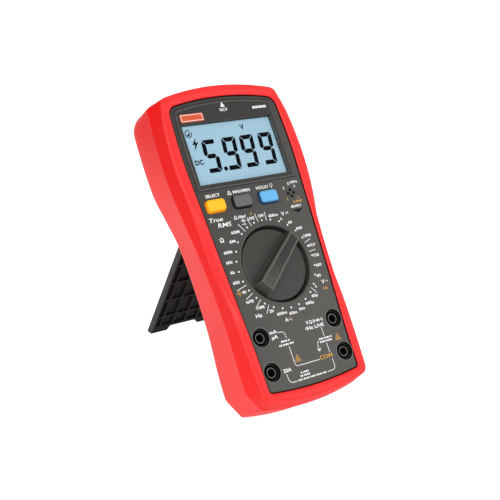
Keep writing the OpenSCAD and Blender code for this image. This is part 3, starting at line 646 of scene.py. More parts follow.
# material left standing behind the recess and round the screws
carve(cavity, [box(-26, 26, -58.8, 44.3, -39, RECESS_Z + 2.2)]
      + [disc(x, y, -38, -11, 3.1, 32) for x, y in SCREWS])

hinge_bore = disc(0, 0, -STAND_WIDTH/2 - 3.4, STAND_WIDTH/2 + 3.4, 1.3, 32)
hinge_bore.data.transform(Matrix.Translation((0, HINGE_Y, HINGE_Z))
                          @ Matrix.Rotation(math.radians(90), 4, "Y"))
cutters = [
    cavity,
    # recess of the folded stand
    box(-STAND_WIDTH/2 - 0.5, STAND_WIDTH/2 + 0.5, -STAND_LENGTH + HINGE_Y - 2.2,
        HINGE_Y + STAND_THICK/2 + 0.45, -39, RECESS_Z),
    # stepped opening in the recess floor
    box(-17.65, 17.65, -48.65, 10.65, RECESS_Z - 1, RECESS_Z + 1.6),
    box(-16.5, 16.5, -48.1, 5.5, RECESS_Z - 1, RECESS_Z + 3),
    hinge_bore,
    # notch below the recess
    box(-9, 9, -STAND_LENGTH + HINGE_Y - 5.2, -STAND_LENGTH + HINGE_Y, -39, -35),
]
for x, y in SCREWS:
    cutters += [disc(x, y, -39, -10, 1.65, 32), disc(x, y, -39, -32, 2.9, 48)]
# everything below the floor is cut away, which leaves the flat heel
below_floor = box(-60, 60, -60, 60, -20, 0)
below_floor.data.transform(Matrix.Translation((0, -RISE*COS, -RISE*SIN))
                           @ Matrix.Rotation(LEAN - math.radians(90), 4, "X"))
carve(rear, cutters + [below_floor])
finish(rear, "shell_rear", "meter", "red_side_painted_sheen", node="rear_case", sharp=38)

# ------------------------------------------------------------------ front panel
# rounded border: offset from the panel outline, z
PANEL_EDGE = ((-0.1, -2.2), (-0.1, -0.75), (-0.14, -0.42), (-0.26, -0.2), (-0.46, -0.07),
              (-0.75, -0.01), (-1.2, 0.0))
# dial well: r, z
WELL = [(23.65, -2.2), (23.65, -0.05), (23.55, 0.14), (23.3, 0.25), (22.8, 0.27), (22.3, 0.2),
        (21.98, 0.0), (21.82, -0.35), (21.8, -5.6), (21.68, -5.88), (21.4, -6.0),
        (6.06, -6.0), (6.06, -7.4), (23.65, -7.4)]
plate = loft([lift(panel_outline(offset), z) for offset, z in PANEL_EDGE])
cutters = [disc(0, 0, -3, 1, 23.6, 128)]
cutters += [prism(round_rect(x - 0.1, BUTTONS_Y - 0.3, 12.85, 7.95, 2.2), -3, 1)
            for x in BUTTONS_X]
cutters += [disc(x, y, -3, 1, 5.15) for x, y in JACKS]
cutters += [disc(HFE_X, HFE_Y, -3, 1, 4.25),
            prism([(22.3, 27.75), (26.2, 25.55), (30.0, 27.75)], -3, 1),
            prism(display_field(-1.6, 46.6, 32.4), -1.35, 2),
            box(LCD_X - 31.25, LCD_X + 31.25, LCD_Y - 19.3, LCD_Y + 19.3, -5, 1)]
carve(plate, cutters)
panel = join("panel_plate", [plate, lathe(WELL)])
finish(panel, "panel_plate", "meter", "panel_grey", node="front_panel",
       bevel=0.18, segments=2, limit=50)


def panel_slot(p):
    """Painted shade: darker grey in the dial well, black on the walls of the socket holes."""
    c = TO_FACE @ p.center
    if math.hypot(c.x, c.y) < 21.9 and c.z < -0.3:
        return 1
    in_socket = any(math.hypot(c.x - x, c.y - y) < 5.3 for x, y in JACKS)
    return 2 if c.z < -0.12 and in_socket else 0


paint(panel, ("well_painted_shade", "socket_black"), panel_slot)

# thin raised rims round the well and the sockets, coloured lighter as painted highlights, and the
# sleeve mouths: r, z
WELL_RIM = [(22.5, 0.2), (22.55, 0.3), (22.8, 0.34), (23.0, 0.3), (23.05, 0.2)]
SOCKET_RIM = [(5.3, -0.12), (5.34, 0.1), (5.46, 0.14), (5.6, 0.1), (5.64, -0.12)]
MOUTH = [(2.42, -2.04), (2.42, -1.16), (2.5, -1.08), (2.65, -1.05), (2.8, -1.08),
         (2.88, -1.16), (2.88, -2.04)]
finish(join("panel_rims", [lathe(WELL_RIM)]), "panel_rims", "meter", "well_rim_painted_highlight",
       sharp=60)
for name, profile, colour, slot in (
        ("socket_rims", SOCKET_RIM, "edge_line_painted_highlight", "front_panel"),
        ("sleeve_mouths", MOUTH, "ring_grey", "jack_sleeves")):
    finish(join(name, [lathe(profile, x, y, segments=64) for x, y in JACKS]), name, "meter",
           colour, sharp=60)

# ------------------------------------------------------------------ display frame and badge
bezel = prism(display_field(-1.75, 46.75, 32.25), -1.3, 0.3)
carve(bezel, [box(LCD_X - LCD_WIDTH/2 - 0.35, LCD_X + LCD_WIDTH/2 + 0.35,
                  LCD_Y - LCD_HEIGHT/2 - 0.35, LCD_Y + LCD_HEIGHT/2 + 0.35, -5, 2),
              box(-30.7, -15.5, 86.45, 91.45, -0.2, 2)])
finish(bezel, "display_frame", "meter", "bezel_grey", node="display_bezel",
       bevel=0.28, segments=3, limit=50)

# blank badge: length, width, corner radius, z
BADGE = ((15.0, 4.8, 0.5, -0.18), (15.0, 4.8, 0.5, 0.4), (14.7, 4.5, 0.45, 0.52),
         (14.3, 4.1, 0.4, 0.52))
badge = loft([lift(round_rect(BADGE_X, BADGE_Y, length, width, r), z)
              for length, width, r, z in BADGE])
finish(badge, "badge", "meter", "badge_orange", node="badge_plate", sharp=35)

# ------------------------------------------------------------------ buttons
CAP_LENGTH, CAP_WIDTH = 11.6, 6.6
# flange and walls: shift in x, shift in y, added length, added width, corner radius, z
CAP_WALL = ((0, 0, 2.4, 2.4, 1.5, -3.5), (0, 0, 2.4, 2.4, 1.5, -2.32),
            (-0.1, -0.3, 0.7, 0.8, 2.0, -2.3), (-0.1, -0.3, 0.7, 0.8, 2.0, 0.1),
            (-0.05, -0.16, 0.4, 0.45, 1.95, 0.8))
# rounded top: inset, z
CAP_TOP = ((0.0, 1.35), (0.08, 1.62), (0.22, 1.86), (0.42, 2.06), (0.65, 2.19), (0.95, 2.27),
           (1.5, 2.29), (2.2, 2.24))


def button(name, x, colour, node, body):
    rows = [lift(round_rect(x + dx, BUTTONS_Y + dy, CAP_LENGTH + longer, CAP_WIDTH + wider, r), z)
            for dx, dy, longer, wider, r, z in CAP_WALL]
    rows += [lift(round_rect(x, BUTTONS_Y, CAP_LENGTH - 2*inset, CAP_WIDTH - 2*inset,
                             max(1.8 - inset*0.62, 0.35)), z) for inset, z in CAP_TOP]
    post = disc(x, BUTTONS_Y, -5.0, -3.4, 2.2, 32)
    cap = join(name, [loft(rows, name=name), post])
    finish(cap, name, body, colour, node=node, sharp=48)
    # painted shade: the walls below the rounded top take the darker side colour
    paint(cap, (colour + "_side",), lambda p: int((TO_FACE @ p.center).z < 1.3))


button("cap_select", BUTTONS_X[0], "button_yellow", "button_select", "key_select")
button("cap_maxmin", BUTTONS_X[1], "button_grey", "button_maxmin", "key_maxmin")
button("cap_hold", BUTTONS_X[2], "button_blue", "button_hold", "key_hold")

# ------------------------------------------------------------------ knob
BAR_TURN = Matrix.Rotation(math.radians(40), 4, "Z")
# disc: r, z
KNOB_DISC = [(20.4, -5.65), (20.6, -5.45), (20.6, -2.55), (20.52, -2.2), (20.3, -1.88),
             (19.95, -1.62), (19.5, -1.47), (19.0, -1.42), (0.8, -1.36)]


def bar(*rows):
    """Tapered bar along x; each row is x start, x end, half width at each, z."""
    return loft([[(x0, -w0, z), (x1, -w1, z), (x1, w1, z), (x0, w0, z)]
                 for x0, x1, w0, w1, z in rows])


knob_disc = lathe(KNOB_DISC, loop=False)
hub = lathe([(6.0, -8.6), (6.0, -5.4)], segments=64, loop=False)
grip = bar((-21.5, 21.5, 4.45, 3.75, -2.9), (-21.3, 21.4, 4.4, 3.7, -2.2),
           (-18.3, 19.6, 4.2, 3.35, 4.55), (-17.7, 19.0, 3.75, 2.85, 5.2))
carve(grip, [disc(0, 0, -20, 20, 21.3, 128)], "INTERSECT")
carve(grip, [bar((-16.9, 18.6, 3.15, 2.3, 4.85), (-17.0, 18.7, 3.25, 2.4, 6))])
# slots: 0 knob, 1 painted highlight on the edges made by the bevel, 2 top in painted shade, 3
# painted highlight on the rim of the disc
grip.data.materials.clear()
for name in ("knob_grey", "knob_edge_painted_highlight", "knob_top_painted_shade"):
    grip.data.materials.append(MATERIALS[name])
for p in grip.data.polygons:
    p.material_index = 2 if (p.normal.z > 0.95 and p.center.z > 4) else 0
edge = grip.modifiers.new("edge", "BEVEL")
edge.width = 0.2
edge.segments = 2
edge.limit_method = "ANGLE"
edge.angle_limit = math.radians(32)
edge.material = 1
edge.use_clamp_overlap = True
apply_modifiers(grip)
knob = join("knob", [knob_disc, hub, grip])
knob.data.transform(BAR_TURN)


def knob_slot(p):
    on_rim = 19.3 < math.hypot(p.center.x, p.center.y) < 20.7 and -2.3 < p.center.z < -1.4
    return 3 if on_rim and 0.2 < p.normal.z < 0.96 else p.material_index


knob_slots = [knob_slot(p) for p in knob.data.polygons]
finish(knob, "selector_knob", "selector", "knob_grey", node="knob", sharp=28)
paint(knob, ("knob_edge_painted_highlight", "knob_top_painted_shade", "knob_rim_painted_highlight"), lambda p: knob_slots[p.index])

strip = bar((-16.8, 18.5, 3.08, 2.22, 4.7), (-16.8, 18.5, 3.08, 2.22, 5.02),
            (-16.5, 18.2, 2.85, 2.0, 5.08))
strip.data.transform(BAR_TURN)
finish(strip, "knob_strip", "selector", "inlay_grey", node="knob_inlay",
       bevel=0.08, segments=2, limit=20)

# ------------------------------------------------------------------ print helpers
# each returns a list of flat meshes
PRINT_Z = 0.02
CAP_SHARE = 0.729  # height of a capital as a share of the font size


def text(body, x, y, height, width=None, bold=0.028, shear=0.0, z=PRINT_Z):
    curve = bpy.data.curves.new("t", "FONT")
    curve.body = body
    curve.size = height/CAP_SHARE
    curve.align_x = "CENTER"
    curve.align_y = "CENTER"
    curve.offset = bold*height
    curve.shear = shear
    curve.extrude = 0.0
    curve.resolution_u = 3
    curve.space_character = 1.02
    holder = bpy.data.objects.new("t", curve)
    scene.collection.objects.link(holder)
    depsgraph = bpy.context.evaluated_depsgraph_get()
    depsgraph.update()
    mesh = bpy.data.meshes.new_from_object(holder.evaluated_get(depsgraph))
    bpy.data.objects.remove(holder)
    bpy.data.curves.remove(curve)
    # a font that lacks the sign may give nothing
    if len(mesh.vertices) == 0:
        return [mesh]
    xs = [v.co.x for v in mesh.vertices]
    ys = [v.co.y for v in mesh.vertices]
    middle = ((min(xs) + max(xs))/2, (min(ys) + max(ys))/2)
    stretch = width/(max(xs) - min(xs)) if width else 1.0
    mesh.transform(Matrix.Translation((x, y, z)) @ Matrix.Diagonal((stretch, 1, 1, 1))
                   @ Matrix.Translation((-middle[0], -middle[1], 0)))
    return [mesh]


def texts(height, *rows):
    """Rows of words: text, x, y and perhaps width."""
    return [m for word, x, y, *width in rows for m in text(word, x, y, height, *width)]


def shape(points, z=PRINT_Z):
    mesh = bpy.data.meshes.new("p")
    mesh.from_pydata([(x, y, z) for x, y in points], [], [tuple(range(len(points)))])
    return [mesh]


def spot(x, y, r, n=20, z=PRINT_Z):
    return shape(circle(x, y, r, n), z)


def stroke(path, width, closed=False, z=PRINT_Z):
    """Flat band along a path, each run a little long so that the joints overlap."""
    out = []
    n = len(path)
    for i in range(n if closed else n - 1):
        a, b = path[i], path[(i+1) % n]
        dx, dy = unit(b[0] - a[0], b[1] - a[1])
        over = width*0.28
        ax, ay, bx, by = a[0] - dx*over, a[1] - dy*over, b[0] + dx*over, b[1] + dy*over
        nx, ny = -dy*width/2, dx*width/2
        out += shape([(ax - nx, ay - ny), (bx - nx, by - ny), (bx + nx, by + ny),
                      (ax + nx, ay + ny)], z)
    return out


def lines(width, *rows):
    """Straight strokes: x0, y0, x1, y1."""
    return [m for x0, y0, x1, y1 in rows for m in stroke([(x0, y0), (x1, y1)], width)]


def ring(x, y, r, width, n=24, start=0, end=360, z=PRINT_Z):
    angles = [math.radians(start + (end - start)*i/n) for i in range(n + 1)]
    return stroke([(x + r*math.cos(a), y + r*math.sin(a)) for a in angles], width, z=z)


def dashes(path, dash=1.0, gap=0.45, width=0.38):
    out, used, drawing = [], 0.0, True
    for a, b in zip(path, path[1:]):
        length = math.hypot(b[0] - a[0], b[1] - a[1])
        dx, dy = unit(b[0] - a[0], b[1] - a[1])
        s = 0.0
        while s < length:
            step = min((dash if drawing else gap) - used, length - s)
            e = s + step
            if drawing and step > 0.05:
                out += lines(width, (a[0] + dx*s, a[1] + dy*s, a[0] + dx*e, a[1] + dy*e))
            s = e
            used += step
            if used >= (dash if drawing else gap) - 1e-9:
                used = 0.0
                drawing = not drawing
    return out


def wave(x, y, length, height):
    """One period of a sine, the alternating-current sign."""
    return stroke([(x - length/2 + length*i/12, y + height*math.sin(2*math.pi*i/12))
                   for i in range(13)], 0.34)


def diode(x, y, length, wire_start, wire_end):
    bar_x = x + length + 0.1
    return (shape([(x, y - 0.9), (x + length, y), (x, y + 0.9)])
            + lines(0.3, (bar_x, y - 0.9, bar_x, y + 0.9))
            + lines(0.26, (wire_start, y, wire_end, y)))


def sound(x, y, dot_radius, dot_steps, radii, width):
    """Dot with arcs spreading to the right."""
    out = spot(x, y, dot_radius, dot_steps)
    for r in radii:
        out += ring(x, y, r, width, n=8, start=-50, end=50)
    return out


def small_note(x, end, y, height, k, swing=0.35, gap=0.3, word_gap=0.75, z=PRINT_Z):
    """Small print only suggested by short bars; k varies their widths."""
    out = []
    while x < end - 0.3:
        w = min(0.55 + swing*((k*37) % 5)/4, end - x)
        out += shape([(x, y - height/2), (x + w, y - height/2), (x + w, y + height/2),
                      (x, y + height/2)], z)
        x += w + (gap if k % 4 else word_gap)
        k += 1
    return out


def print_piece(name, meshes, colour, thick=0.03):
    """Join flat meshes and raise them into one thin piece."""
    bm = bmesh.new()
    for mesh in meshes:
        bm.from_mesh(mesh)
        bpy.data.meshes.remove(mesh)
    bmesh.ops.remove_doubles(bm, verts=bm.verts, dist=1e-5)
    for f in bm.faces:
        if f.normal.z < 0:
            f.normal_flip()
    raised = bmesh.ops.extrude_face_region(bm, geom=list(bm.faces))["geom"]
    for v in [g for g in raised if isinstance(g, bmesh.types.BMVert)]:
        v.co.z += thick
    bmesh.ops.recalc_face_normals(bm, faces=bm.faces)
    piece = to_object(bm, name)
    finish(piece, name, "meter", colour)
    for p in piece.data.polygons:
        p.use_smooth = False


# ------------------------------------------------------------------ print on the panel
white, amber = [], []
# button captions
white += text("SELECT", -26.0, 43.6, 1.75, 9.4)
white += stroke([(-16.3, 42.7), (-13.9, 42.7), (-15.1, 44.8)], 0.42, closed=True)
white += texts(1.75, ("MAX/MIN", -6.9, 43.65, 11.4), ("HOLD/", 7.4, 43.65, 8.4))
white += ring(13.7, 44.1, 0.85, 0.34, n=14) + lines(0.3, (13.3, 42.75, 14.1, 42.75))
# transistor socket
white += texts(1.4, ("E", 21.6, 41.1), ("C", 29.4, 41.2), ("B", 25.7, 43.2))
white += text("NPN", 29.6, 43.7, 1.5, 4.9)
amber += texts(1.4, ("E", 21.7, 34.2), ("C", 29.5, 34.1), ("B", 25.7, 32.1))
amber += text("PNP", 29.3, 32.2, 1.5, 4.6)
# loudspeaker sign and words beside the triangular hole
white += shape([(22.3, 29.3), (23.0, 29.3), (23.9, 28.6), (23.9, 30.7), (23.0, 30.0),
                (22.3, 30.0)])
white += text("/NCV", 27.0, 29.65, 1.5, 5.4)
white += text("True", -28.8, 30.1, 2.5, 8.7, shear=0.2, bold=0.012)
white += text("RMS", -24.4, 26.65, 2.55, 8.9, shear=0.2, bold=0.008)
# dial dots, clockwise from the top
DOTS, DOT_RING = 28, 25.33
for i in range(DOTS):
    a = math.radians(90 - i*360/DOTS)
    white += spot(DOT_RING*math.cos(a), DOT_RING*math.sin(a), 0.5 if i else 0.42)
white += texts(
    1.65,
    ("600m", 8.4, 26.85, 6.3), ("6", 12.9, 24.0), ("60", 18.0, 21.1, 2.8),
    ("600", 22.8, 16.8, 4.2), ("1000", 26.6, 11.75, 5.2), ("NCV", 27.7, 5.9, 4.9),
    ("750", 28.1, -0.3, 4.0), ("600", 27.5, -6.0, 4.1), ("60", 25.1, -11.8, 2.8),
    ("6", 20.7, -17.4), ("60µ", 17.8, -22.3, 4.2), ("600µ", 13.0, -25.5, 5.6),
    ("6m", 6.6, -27.3, 3.9), ("60m", 0.1, -28.35, 5.2), ("600m", -7.1, -27.1, 6.6),
    ("20", -13.2, -24.6, 2.8), ("10M", -19.3, -21.3, 5.0), ("hFE", -24.4, -16.9, 4.8),
    ("600", -29.0, -5.4, 4.3), ("6k", -29.2, 0.35, 2.9), ("60k", -29.1, 6.0, 4.3),
    ("600k", -27.8, 11.5, 5.8), ("6M", -23.1, 16.8, 3.9), ("60M", -19.4, 21.5, 5.4),
    ("OFF", 0.3, 27.8, 3.8), ("LIVE", -6.6, 27.4, 4.6), ("100mF", -11.9, 29.3, 5.0))
# units: direct volts, alternating volts, amperes, hertz, ohms
white += text("V", 15.1, 26.6, 2.3)
white += lines(0.3, (17.3, 27.1, 19.0, 27.1), (17.3, 26.4, 17.7, 26.4),
               (18.0, 26.4, 18.3, 26.4), (18.6, 26.4, 19.0, 26.4))
white += text("V", 26.5, -15.8, 2.2) + wave(29.0, -15.7, 1.8, 0.35)
amber += text("Hz", 26.8, -19.6, 1.7, 3.3)
white += text("A", -5.5, -31.2, 2.1) + wave(-2.9, -31.6, 1.9, 0.32)
amber += lines(0.28, (-3.9, -30.6, -2.1, -30.6))
white += text("Hz", -21.8, -25.3, 2.1, 4.2) + text("Ω", -29.3, 18.6, 2.5)
# triangle and capacitor sign by the 100mF position
white += stroke([(-17.3, 28.5), (-15.2, 28.5), (-16.25, 30.4)], 0.34, closed=True)
white += lines(0.3, (-13.6, 27.0, -12.4, 27.0))
white += lines(0.34, (-12.3, 26.0, -12.3, 28.0), (-11.5, 26.0, -11.5, 28.0))
white += lines(0.3, (-11.4, 27.0, -10.3, 27.0), (-13.3, 24.9, -10.9, 24.9))
white += ring(-11.6, 24.9, 0.62, 0.28, n=12, start=-90, end=90)
# diode, sound sign and bolt
white += diode(-27.0, -11.3, 1.6, -27.6, -24.5)
amber += sound(-30.6, -11.3, 0.4, 12, (0.95, 1.5, 2.05), 0.3)
amber += shape([(-5.2, 31.2), (-6.4, 29.9), (-5.75, 29.9), (-6.3, 28.9), (-4.9, 30.35),
                (-5.55, 30.35)])
# lines that part the ranges round the dial
white += lines(
    0.3,
    (-16.0, 25.5, -13.0, 20.9), (-9.3, 27.0, -7.7, 23.4), (-3.4, 29.6, -2.7, 24.8),
    (3.4, 29.6, 2.9, 24.7), (23.2, 7.9, 27.8, 9.6), (24.3, 2.55, 28.9, 3.0),
    (17.2, -17.4, 20.1, -21.0), (-13.6, -21.0, -16.6, -25.2), (-17.6, -17.3, -22.2, -21.0),
    (-21.0, -12.8, -26.2, -15.3), (-23.5, -7.9, -30.2, -9.7))
# input labels and the dashed lines between them
white += texts(2.0, ("mA", -16.6, -35.7, 4.9), ("µA", -16.5, -38.7, 4.0),
               ("20A", -15.6, -57.1, 5.4))
for path in (
        [(-13.7, -36.5), (-11.2, -36.8), (-10.1, -37.4), (-9.6, -38.6), (-9.6, -40.6)],
        [(-9.6, -45.3), (-9.6, -54.6), (-9.2, -55.8), (-8.2, -56.4), (6.9, -56.5)],
        [(-16.9, -59.1), (-16.6, -62.2), (-15.9, -63.5), (-14.7, -64.0), (-11.5, -64.0)],
        [(9.4, -64.0), (13.6, -63.9), (14.8, -63.3), (15.3, -62.2), (15.3, -58.0)],
        [(15.0, -40.2), (15.0, -45.0)],
        [(15.0, -49.2), (15.0, -54.3)]):
    white += dashes(path)
white += dashes([(10.2, -46.9), (9.2, -47.6), (8.8, -48.8), (8.8, -50.6)], dash=0.8, gap=0.4)
white += shape([(7.5, -50.7), (8.8, -52.6), (10.1, -50.7), (9.1, -51.1), (8.5, -51.1)])
# signs above the right-hand sockets' lines
white += texts(2.0, ("V", 6.8, -35.7), ("Ω", 9.2, -35.7))
white += lines(0.34, (11.2, -34.8, 11.2, -36.6), (11.9, -34.8, 11.9, -36.6))
white += lines(0.3, (10.6, -35.7, 11.2, -35.7), (11.9, -35.7, 12.6, -35.7))
white += diode(13.4, -35.7, 1.5, 12.9, 15.7)
white += sound(16.3, -35.7, 0.3, 10, (0.8, 1.3), 0.26)
white += stroke([(5.6, -37.9), (4.3, -38.7), (5.6, -39.5)], 0.3)
white += text("Hz LIVE", 11.5, -38.7, 1.9, 11.6)
amber += text("COM", 11.8, -55.9, 2.2, 8.9)
# small notes: x start, x end, y, height, first width number
for row in ((-13.7, -7.8, -41.9, 0.9, 1), (-15.6, -5.9, -43.8, 0.9, 3),
            (10.9, 20.2, -46.1, 0.95, 2), (10.9, 20.2, -47.8, 0.95, 5),
            (-7.8, -2.1, -60.4, 0.9, 4), (-8.7, -1.4, -62.1, 0.9, 7),
            (-10.8, 8.8, -63.95, 0.85, 6)):
    white += small_note(*row)
# warning triangles
for x, y in ((-6.75, -54.1), (23.65, -49.0)):
    amber += stroke([(x - 2.0, y), (x + 2.0, y), (x, y + 3.6)], 0.34, closed=True)
    amber += shape([(x - 0.9, y + 0.5), (x + 0.9, y + 0.5), (x, y + 2.3)])
# painted shade: flat black rings round the four holes of the transistor socket
hfe_rings = []
for dx, dy in ((1.9, 0), (0, 1.9), (-1.9, 0), (0, -1.9)):
    hfe_rings += ring(HFE_X + dx, HFE_Y + dy, 0.86, 0.36, n=20)
print_piece("hfe_mouths", hfe_rings, "socket_black")
print_piece("panel_print_white", white, "print_white")
print_piece("panel_print_amber", amber, "print_amber")

# ------------------------------------------------------------------ print on the display frame
FRAME_Z = 0.31
frame_print = shape([(-2.3, 93.3), (0.7, 93.3), (-0.8, 96.2)], z=FRAME_Z)
frame_print += text("NCV", -0.8, 91.6, 1.75, 5.2, z=FRAME_Z)
frame_print += small_note(18.9, 28.6, 90.9, 1.5, 2, swing=0.4, gap=0.35, word_gap=0.35,
                          z=FRAME_Z)
# border on the badge
frame_print += stroke([(-30.0, 87.15), (-16.2, 87.15), (-16.2, 90.65), (-30.0, 90.65)], 0.26,
                      closed=True, z=0.525)
print_piece("frame_print", frame_print, "print_white")
# painted highlight: a light line round the display frame
print_piece("frame_line", stroke(display_field(-3.3, 47.5, 31.4), 0.24, closed=True, z=0.29),
            "edge_line_painted_highlight", thick=0.05)

# ------------------------------------------------------------------ display
SEGMENT_Z = LCD_Z + 0.005
DIGIT_BOTTOM, DIGIT_WIDTH, DIGIT_HEIGHT, DIGIT_SLANT = 56.7, 9.5, 19.2, 0.1
SEGMENT_THICK, SEGMENT_GAP = 2.6, 0.22


def digit(lit, centre):
    """Seven-segment digit; lit names segments a to g, clockwise from the top, g the middle."""
    g, t = SEGMENT_GAP, SEGMENT_THICK
    c = t*0.34  # corner chamfer
    x0, x1 = centre - DIGIT_WIDTH/2, centre + DIGIT_WIDTH/2
    y0, ym, y1 = DIGIT_BOTTOM, DIGIT_BOTTOM + DIGIT_HEIGHT/2, DIGIT_BOTTOM + DIGIT_HEIGHT
    parts = {
        "a": [(x0 + g + c*0.4, y1 - c*0.35), (x0 + g + c, y1), (x1 - g - c, y1),
              (x1 - g - c*0.4, y1 - c*0.35), (x1 - g - t, y1 - t), (x0 + g + t, y1 - t)],
        "b": [(x1, y1 - g - c), (x1, ym + g + t*0.4), (x1 - t*0.5, ym + g),
              (x1 - t, ym + g + t*0.5), (x1 - t, y1 - g - t), (x1 - c*0.35, y1 - g - c*0.4)],
        "c": [(x1, y0 + g + c), (x1 - c*0.35, y0 + g + c*0.4), (x1 - t, y0 + g + t),
              (x1 - t, ym - g - t*0.5), (x1 - t*0.5, ym - g), (x1, ym - g - t*0.4)],
        "d": [(x0 + g + c*0.4, y0 + c*0.35), (x0 + g + t, y0 + t), (x1 - g - t, y0 + t),
              (x1 - g - c*0.4, y0 + c*0.35), (x1 - g - c, y0), (x0 + g + c, y0)],
        "f": [(x0, y1 - g - c), (x0 + c*0.35, y1 - g - c*0.4), (x0 + t, y1 - g - t),
              (x0 + t, ym + g + t*0.5), (x0 + t*0.5, ym + g), (x0, ym + g + t*0.4)],
        "g": [(x0 + g + t*0.5, ym), (x0 + g + t*0.95, ym + t/2), (x1 - g - t*0.95, ym + t/2),
              (x1 - g - t*0.5, ym), (x1 - g - t*0.95, ym - t/2), (x0 + g + t*0.95, ym - t/2)],
    }
    # an end with no neighbour is cut square
    if "b" not in lit:
        near, far = x1 - g - c*1.5, x1 - g - c*1.1
        parts["a"][2:5] = [(near, y1), (far, y1 - c*0.4), (far, y1 - t + c*0.4), (near, y1 - t)]
    if "e" not in lit:
        near, far = x0 + g + c*1.5, x0 + g + c*1.1
        parts["d"] = ([(far, y0 + c*0.4), (far, y0 + t - c*0.4), (near, y0 + t)]
                      + parts["d"][2:5] + [(near, y0)])
    return [m for k in lit
            for m in shape([(x + (y - y0 - DIGIT_HEIGHT/2)*DIGIT_SLANT, y) for x, y in parts[k]],
                           SEGMENT_Z)]


FIVE, NINE = "afgcd", "abfgcd"
segments = []
for lit, x in ((FIVE, -17.1), (NINE, -3.9), (NINE, 8.25), (NINE, 21.15)):
    segments += digit(lit, x)
segments += spot(-10.6, 58.0, 1.3, z=SEGMENT_Z)
segments += text("V", 8.75, 80.8, 2.9, bold=0.055, z=SEGMENT_Z)
segments += text("DC", -26.2, 63.6, 2.8, 5.5, bold=0.055, z=SEGMENT_Z)
# round sign and bolt at the left
segments += ring(-27.25, 80.6, 2.0, 0.5, start=60, end=380, z=SEGMENT_Z)
segments += shape([(-28.5, 79.5), (-25.9, 82.0), (-26.9, 79.2)], SEGMENT_Z)
segments += shape([(-23.6, 78.2), (-27.0, 73.9), (-25.2, 74.0), (-26.8, 70.2), (-22.8, 75.2),
                   (-24.7, 75.1)], SEGMENT_Z)
print_piece("display_segments", segments, "lcd_segment", thick=0.012)

# ------------------------------------------------------------------ carried-over nodes
NODE_MATERIALS = {
    "display_window": "display_clear", "lcd_mask": "mask_black", "lcd_glass": "lcd_lit",
    "lcd_backlight": "ceramic", "lcd_connector": "zebra_pink", "hfe_socket": "panel_grey",
    "hfe_contacts": "brass", "ncv_lens": "socket_black", "ncv_antenna": "brass",
    "main_pcb": "board_green", "pcb_screws": "steel", "measurement_ic": "chip_black",
    "crystal": "steel", "ptc_thermistor": "cell_sleeve", "varistors": "disc_blue",
    "filter_capacitor": "disc_blue", "current_shunt": "brass", "fuse_ma": "ceramic",
    "fuse_20a": "ceramic", "fuse_clips": "steel", "buzzer": "brass",
    "jack_shrouds": "socket_black", "jack_sleeves": "sleeve_grey", "switch_rotor": "acetal",
    "rotor_contacts": "brass", "detent_balls": "steel", "detent_springs": "steel",
    "rotor_clip": "steel", "keypad": "silicone", "batteries": "cell_sleeve",
    "battery_contacts": "steel", "battery_door": "stand_black", "battery_door_screw": "steel",
    "case_screws": "steel", "tilt_stand": "stand_black", "stand_pins": "steel",
}
for name, colour in NODE_MATERIALS.items():
    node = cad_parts[name]
    for slot in node.material_slots:
        slot.link = "OBJECT"
        slot.material = MATERIALS[colour]


# ------------------------------------------------------------------ floor and world
def camera_switch(tree, other, camera):
    """One value for camera rays and another for all other rays."""
    rays = add_node(tree, "LightPath", {}).outputs["Is Camera Ray"]
    return remap(tree, rays, target=(other, camera))


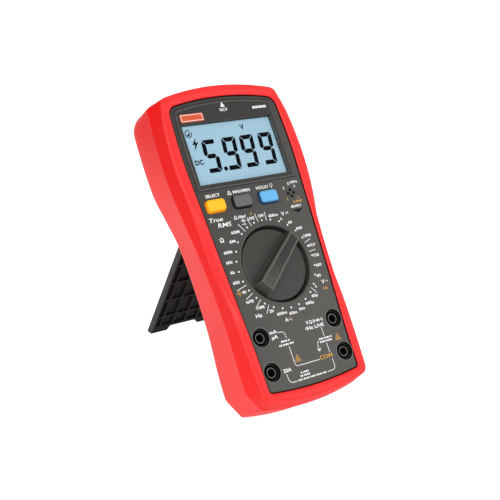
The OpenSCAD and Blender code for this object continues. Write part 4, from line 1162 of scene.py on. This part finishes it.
floor_mesh = bpy.data.meshes.new("floor")
floor_mesh.from_pydata([(-6, -6, 0), (6, -6, 0), (6, 6, 0), (-6, 6, 0)], [], [(0, 1, 2, 3)])
floor = bpy.data.objects.new("floor", floor_mesh)
scene.collection.objects.link(floor)
floor_white = bpy.data.materials.new("floor_white")
floor_white.use_nodes = True
tree = floor_white.node_tree
floor_inputs = tree.nodes["Principled BSDF"].inputs
floor_inputs["Base Color"].default_value = (0.86, 0.86, 0.86, 1)
floor_inputs["Roughness"].default_value = 0.9
floor_inputs["Specular IOR Level"].default_value = 0.1
floor_inputs["Emission Color"].default_value = (1, 1, 1, 1)
tree.links.new(camera_switch(tree, other=0.28, camera=0.85), floor_inputs["Emission Strength"])
floor_mesh.materials.append(floor_white)

world = bpy.data.worlds.new("w")
scene.world = world
world.use_nodes = True
tree = world.node_tree
background = tree.nodes["Background"].inputs
tree.links.new(camera_switch(tree, other=0.72, camera=1.05), background["Strength"])
background["Color"].default_value = (1, 1, 1, 1)


# ------------------------------------------------------------------ lights and camera
def area_light(name, location, size, power):
    """Round lamp aimed at the middle of the meter (m, W)."""
    light = bpy.data.lights.new(name, "AREA")
    light.shape = "DISK"
    light.size = size
    light.energy = power
    lamp = bpy.data.objects.new(name, light)
    scene.collection.objects.link(lamp)
    lamp.location = location
    lamp.rotation_mode = "QUATERNION"
    aim = Vector((0, 0.03, 0.08)) - Vector(location)
    lamp.rotation_quaternion = aim.to_track_quat("-Z", "Y")


area_light("key", location=(-0.9, -0.6, 1.1), size=0.7, power=9)
area_light("fill", location=(0.9, -0.9, 0.7), size=0.9, power=4)

# camera place (mm) and axes in the face frame
CAMERA_AT = Vector((-326.594, -77.274, 441.980))
CAMERA_RIGHT = Vector((0.80356, -0.31248, 0.50660))
CAMERA_DOWN = Vector((-0.17092, -0.93640, -0.30649))
CAMERA_AHEAD = Vector((0.57016, 0.15970, -0.80586))
camera_data = bpy.data.cameras.new("cam")
camera = bpy.data.objects.new("cam", camera_data)
scene.collection.objects.link(camera)
scene.camera = camera
camera_data.sensor_width = 36
camera_data.lens = 73.3176
camera_data.clip_start = 0.01
camera_data.clip_end = 50
face_turn = Matrix(((1, 0, 0), (0, SIN, -COS), (0, COS, SIN)))
camera_axes = Matrix((CAMERA_RIGHT, -CAMERA_DOWN, -CAMERA_AHEAD)).transposed()
camera.matrix_world = (Matrix.Translation(FACE @ CAMERA_AT)
                       @ (face_turn @ camera_axes).to_4x4())
scene.view_settings.view_transform = "Standard"
scene.view_settings.look = "None"
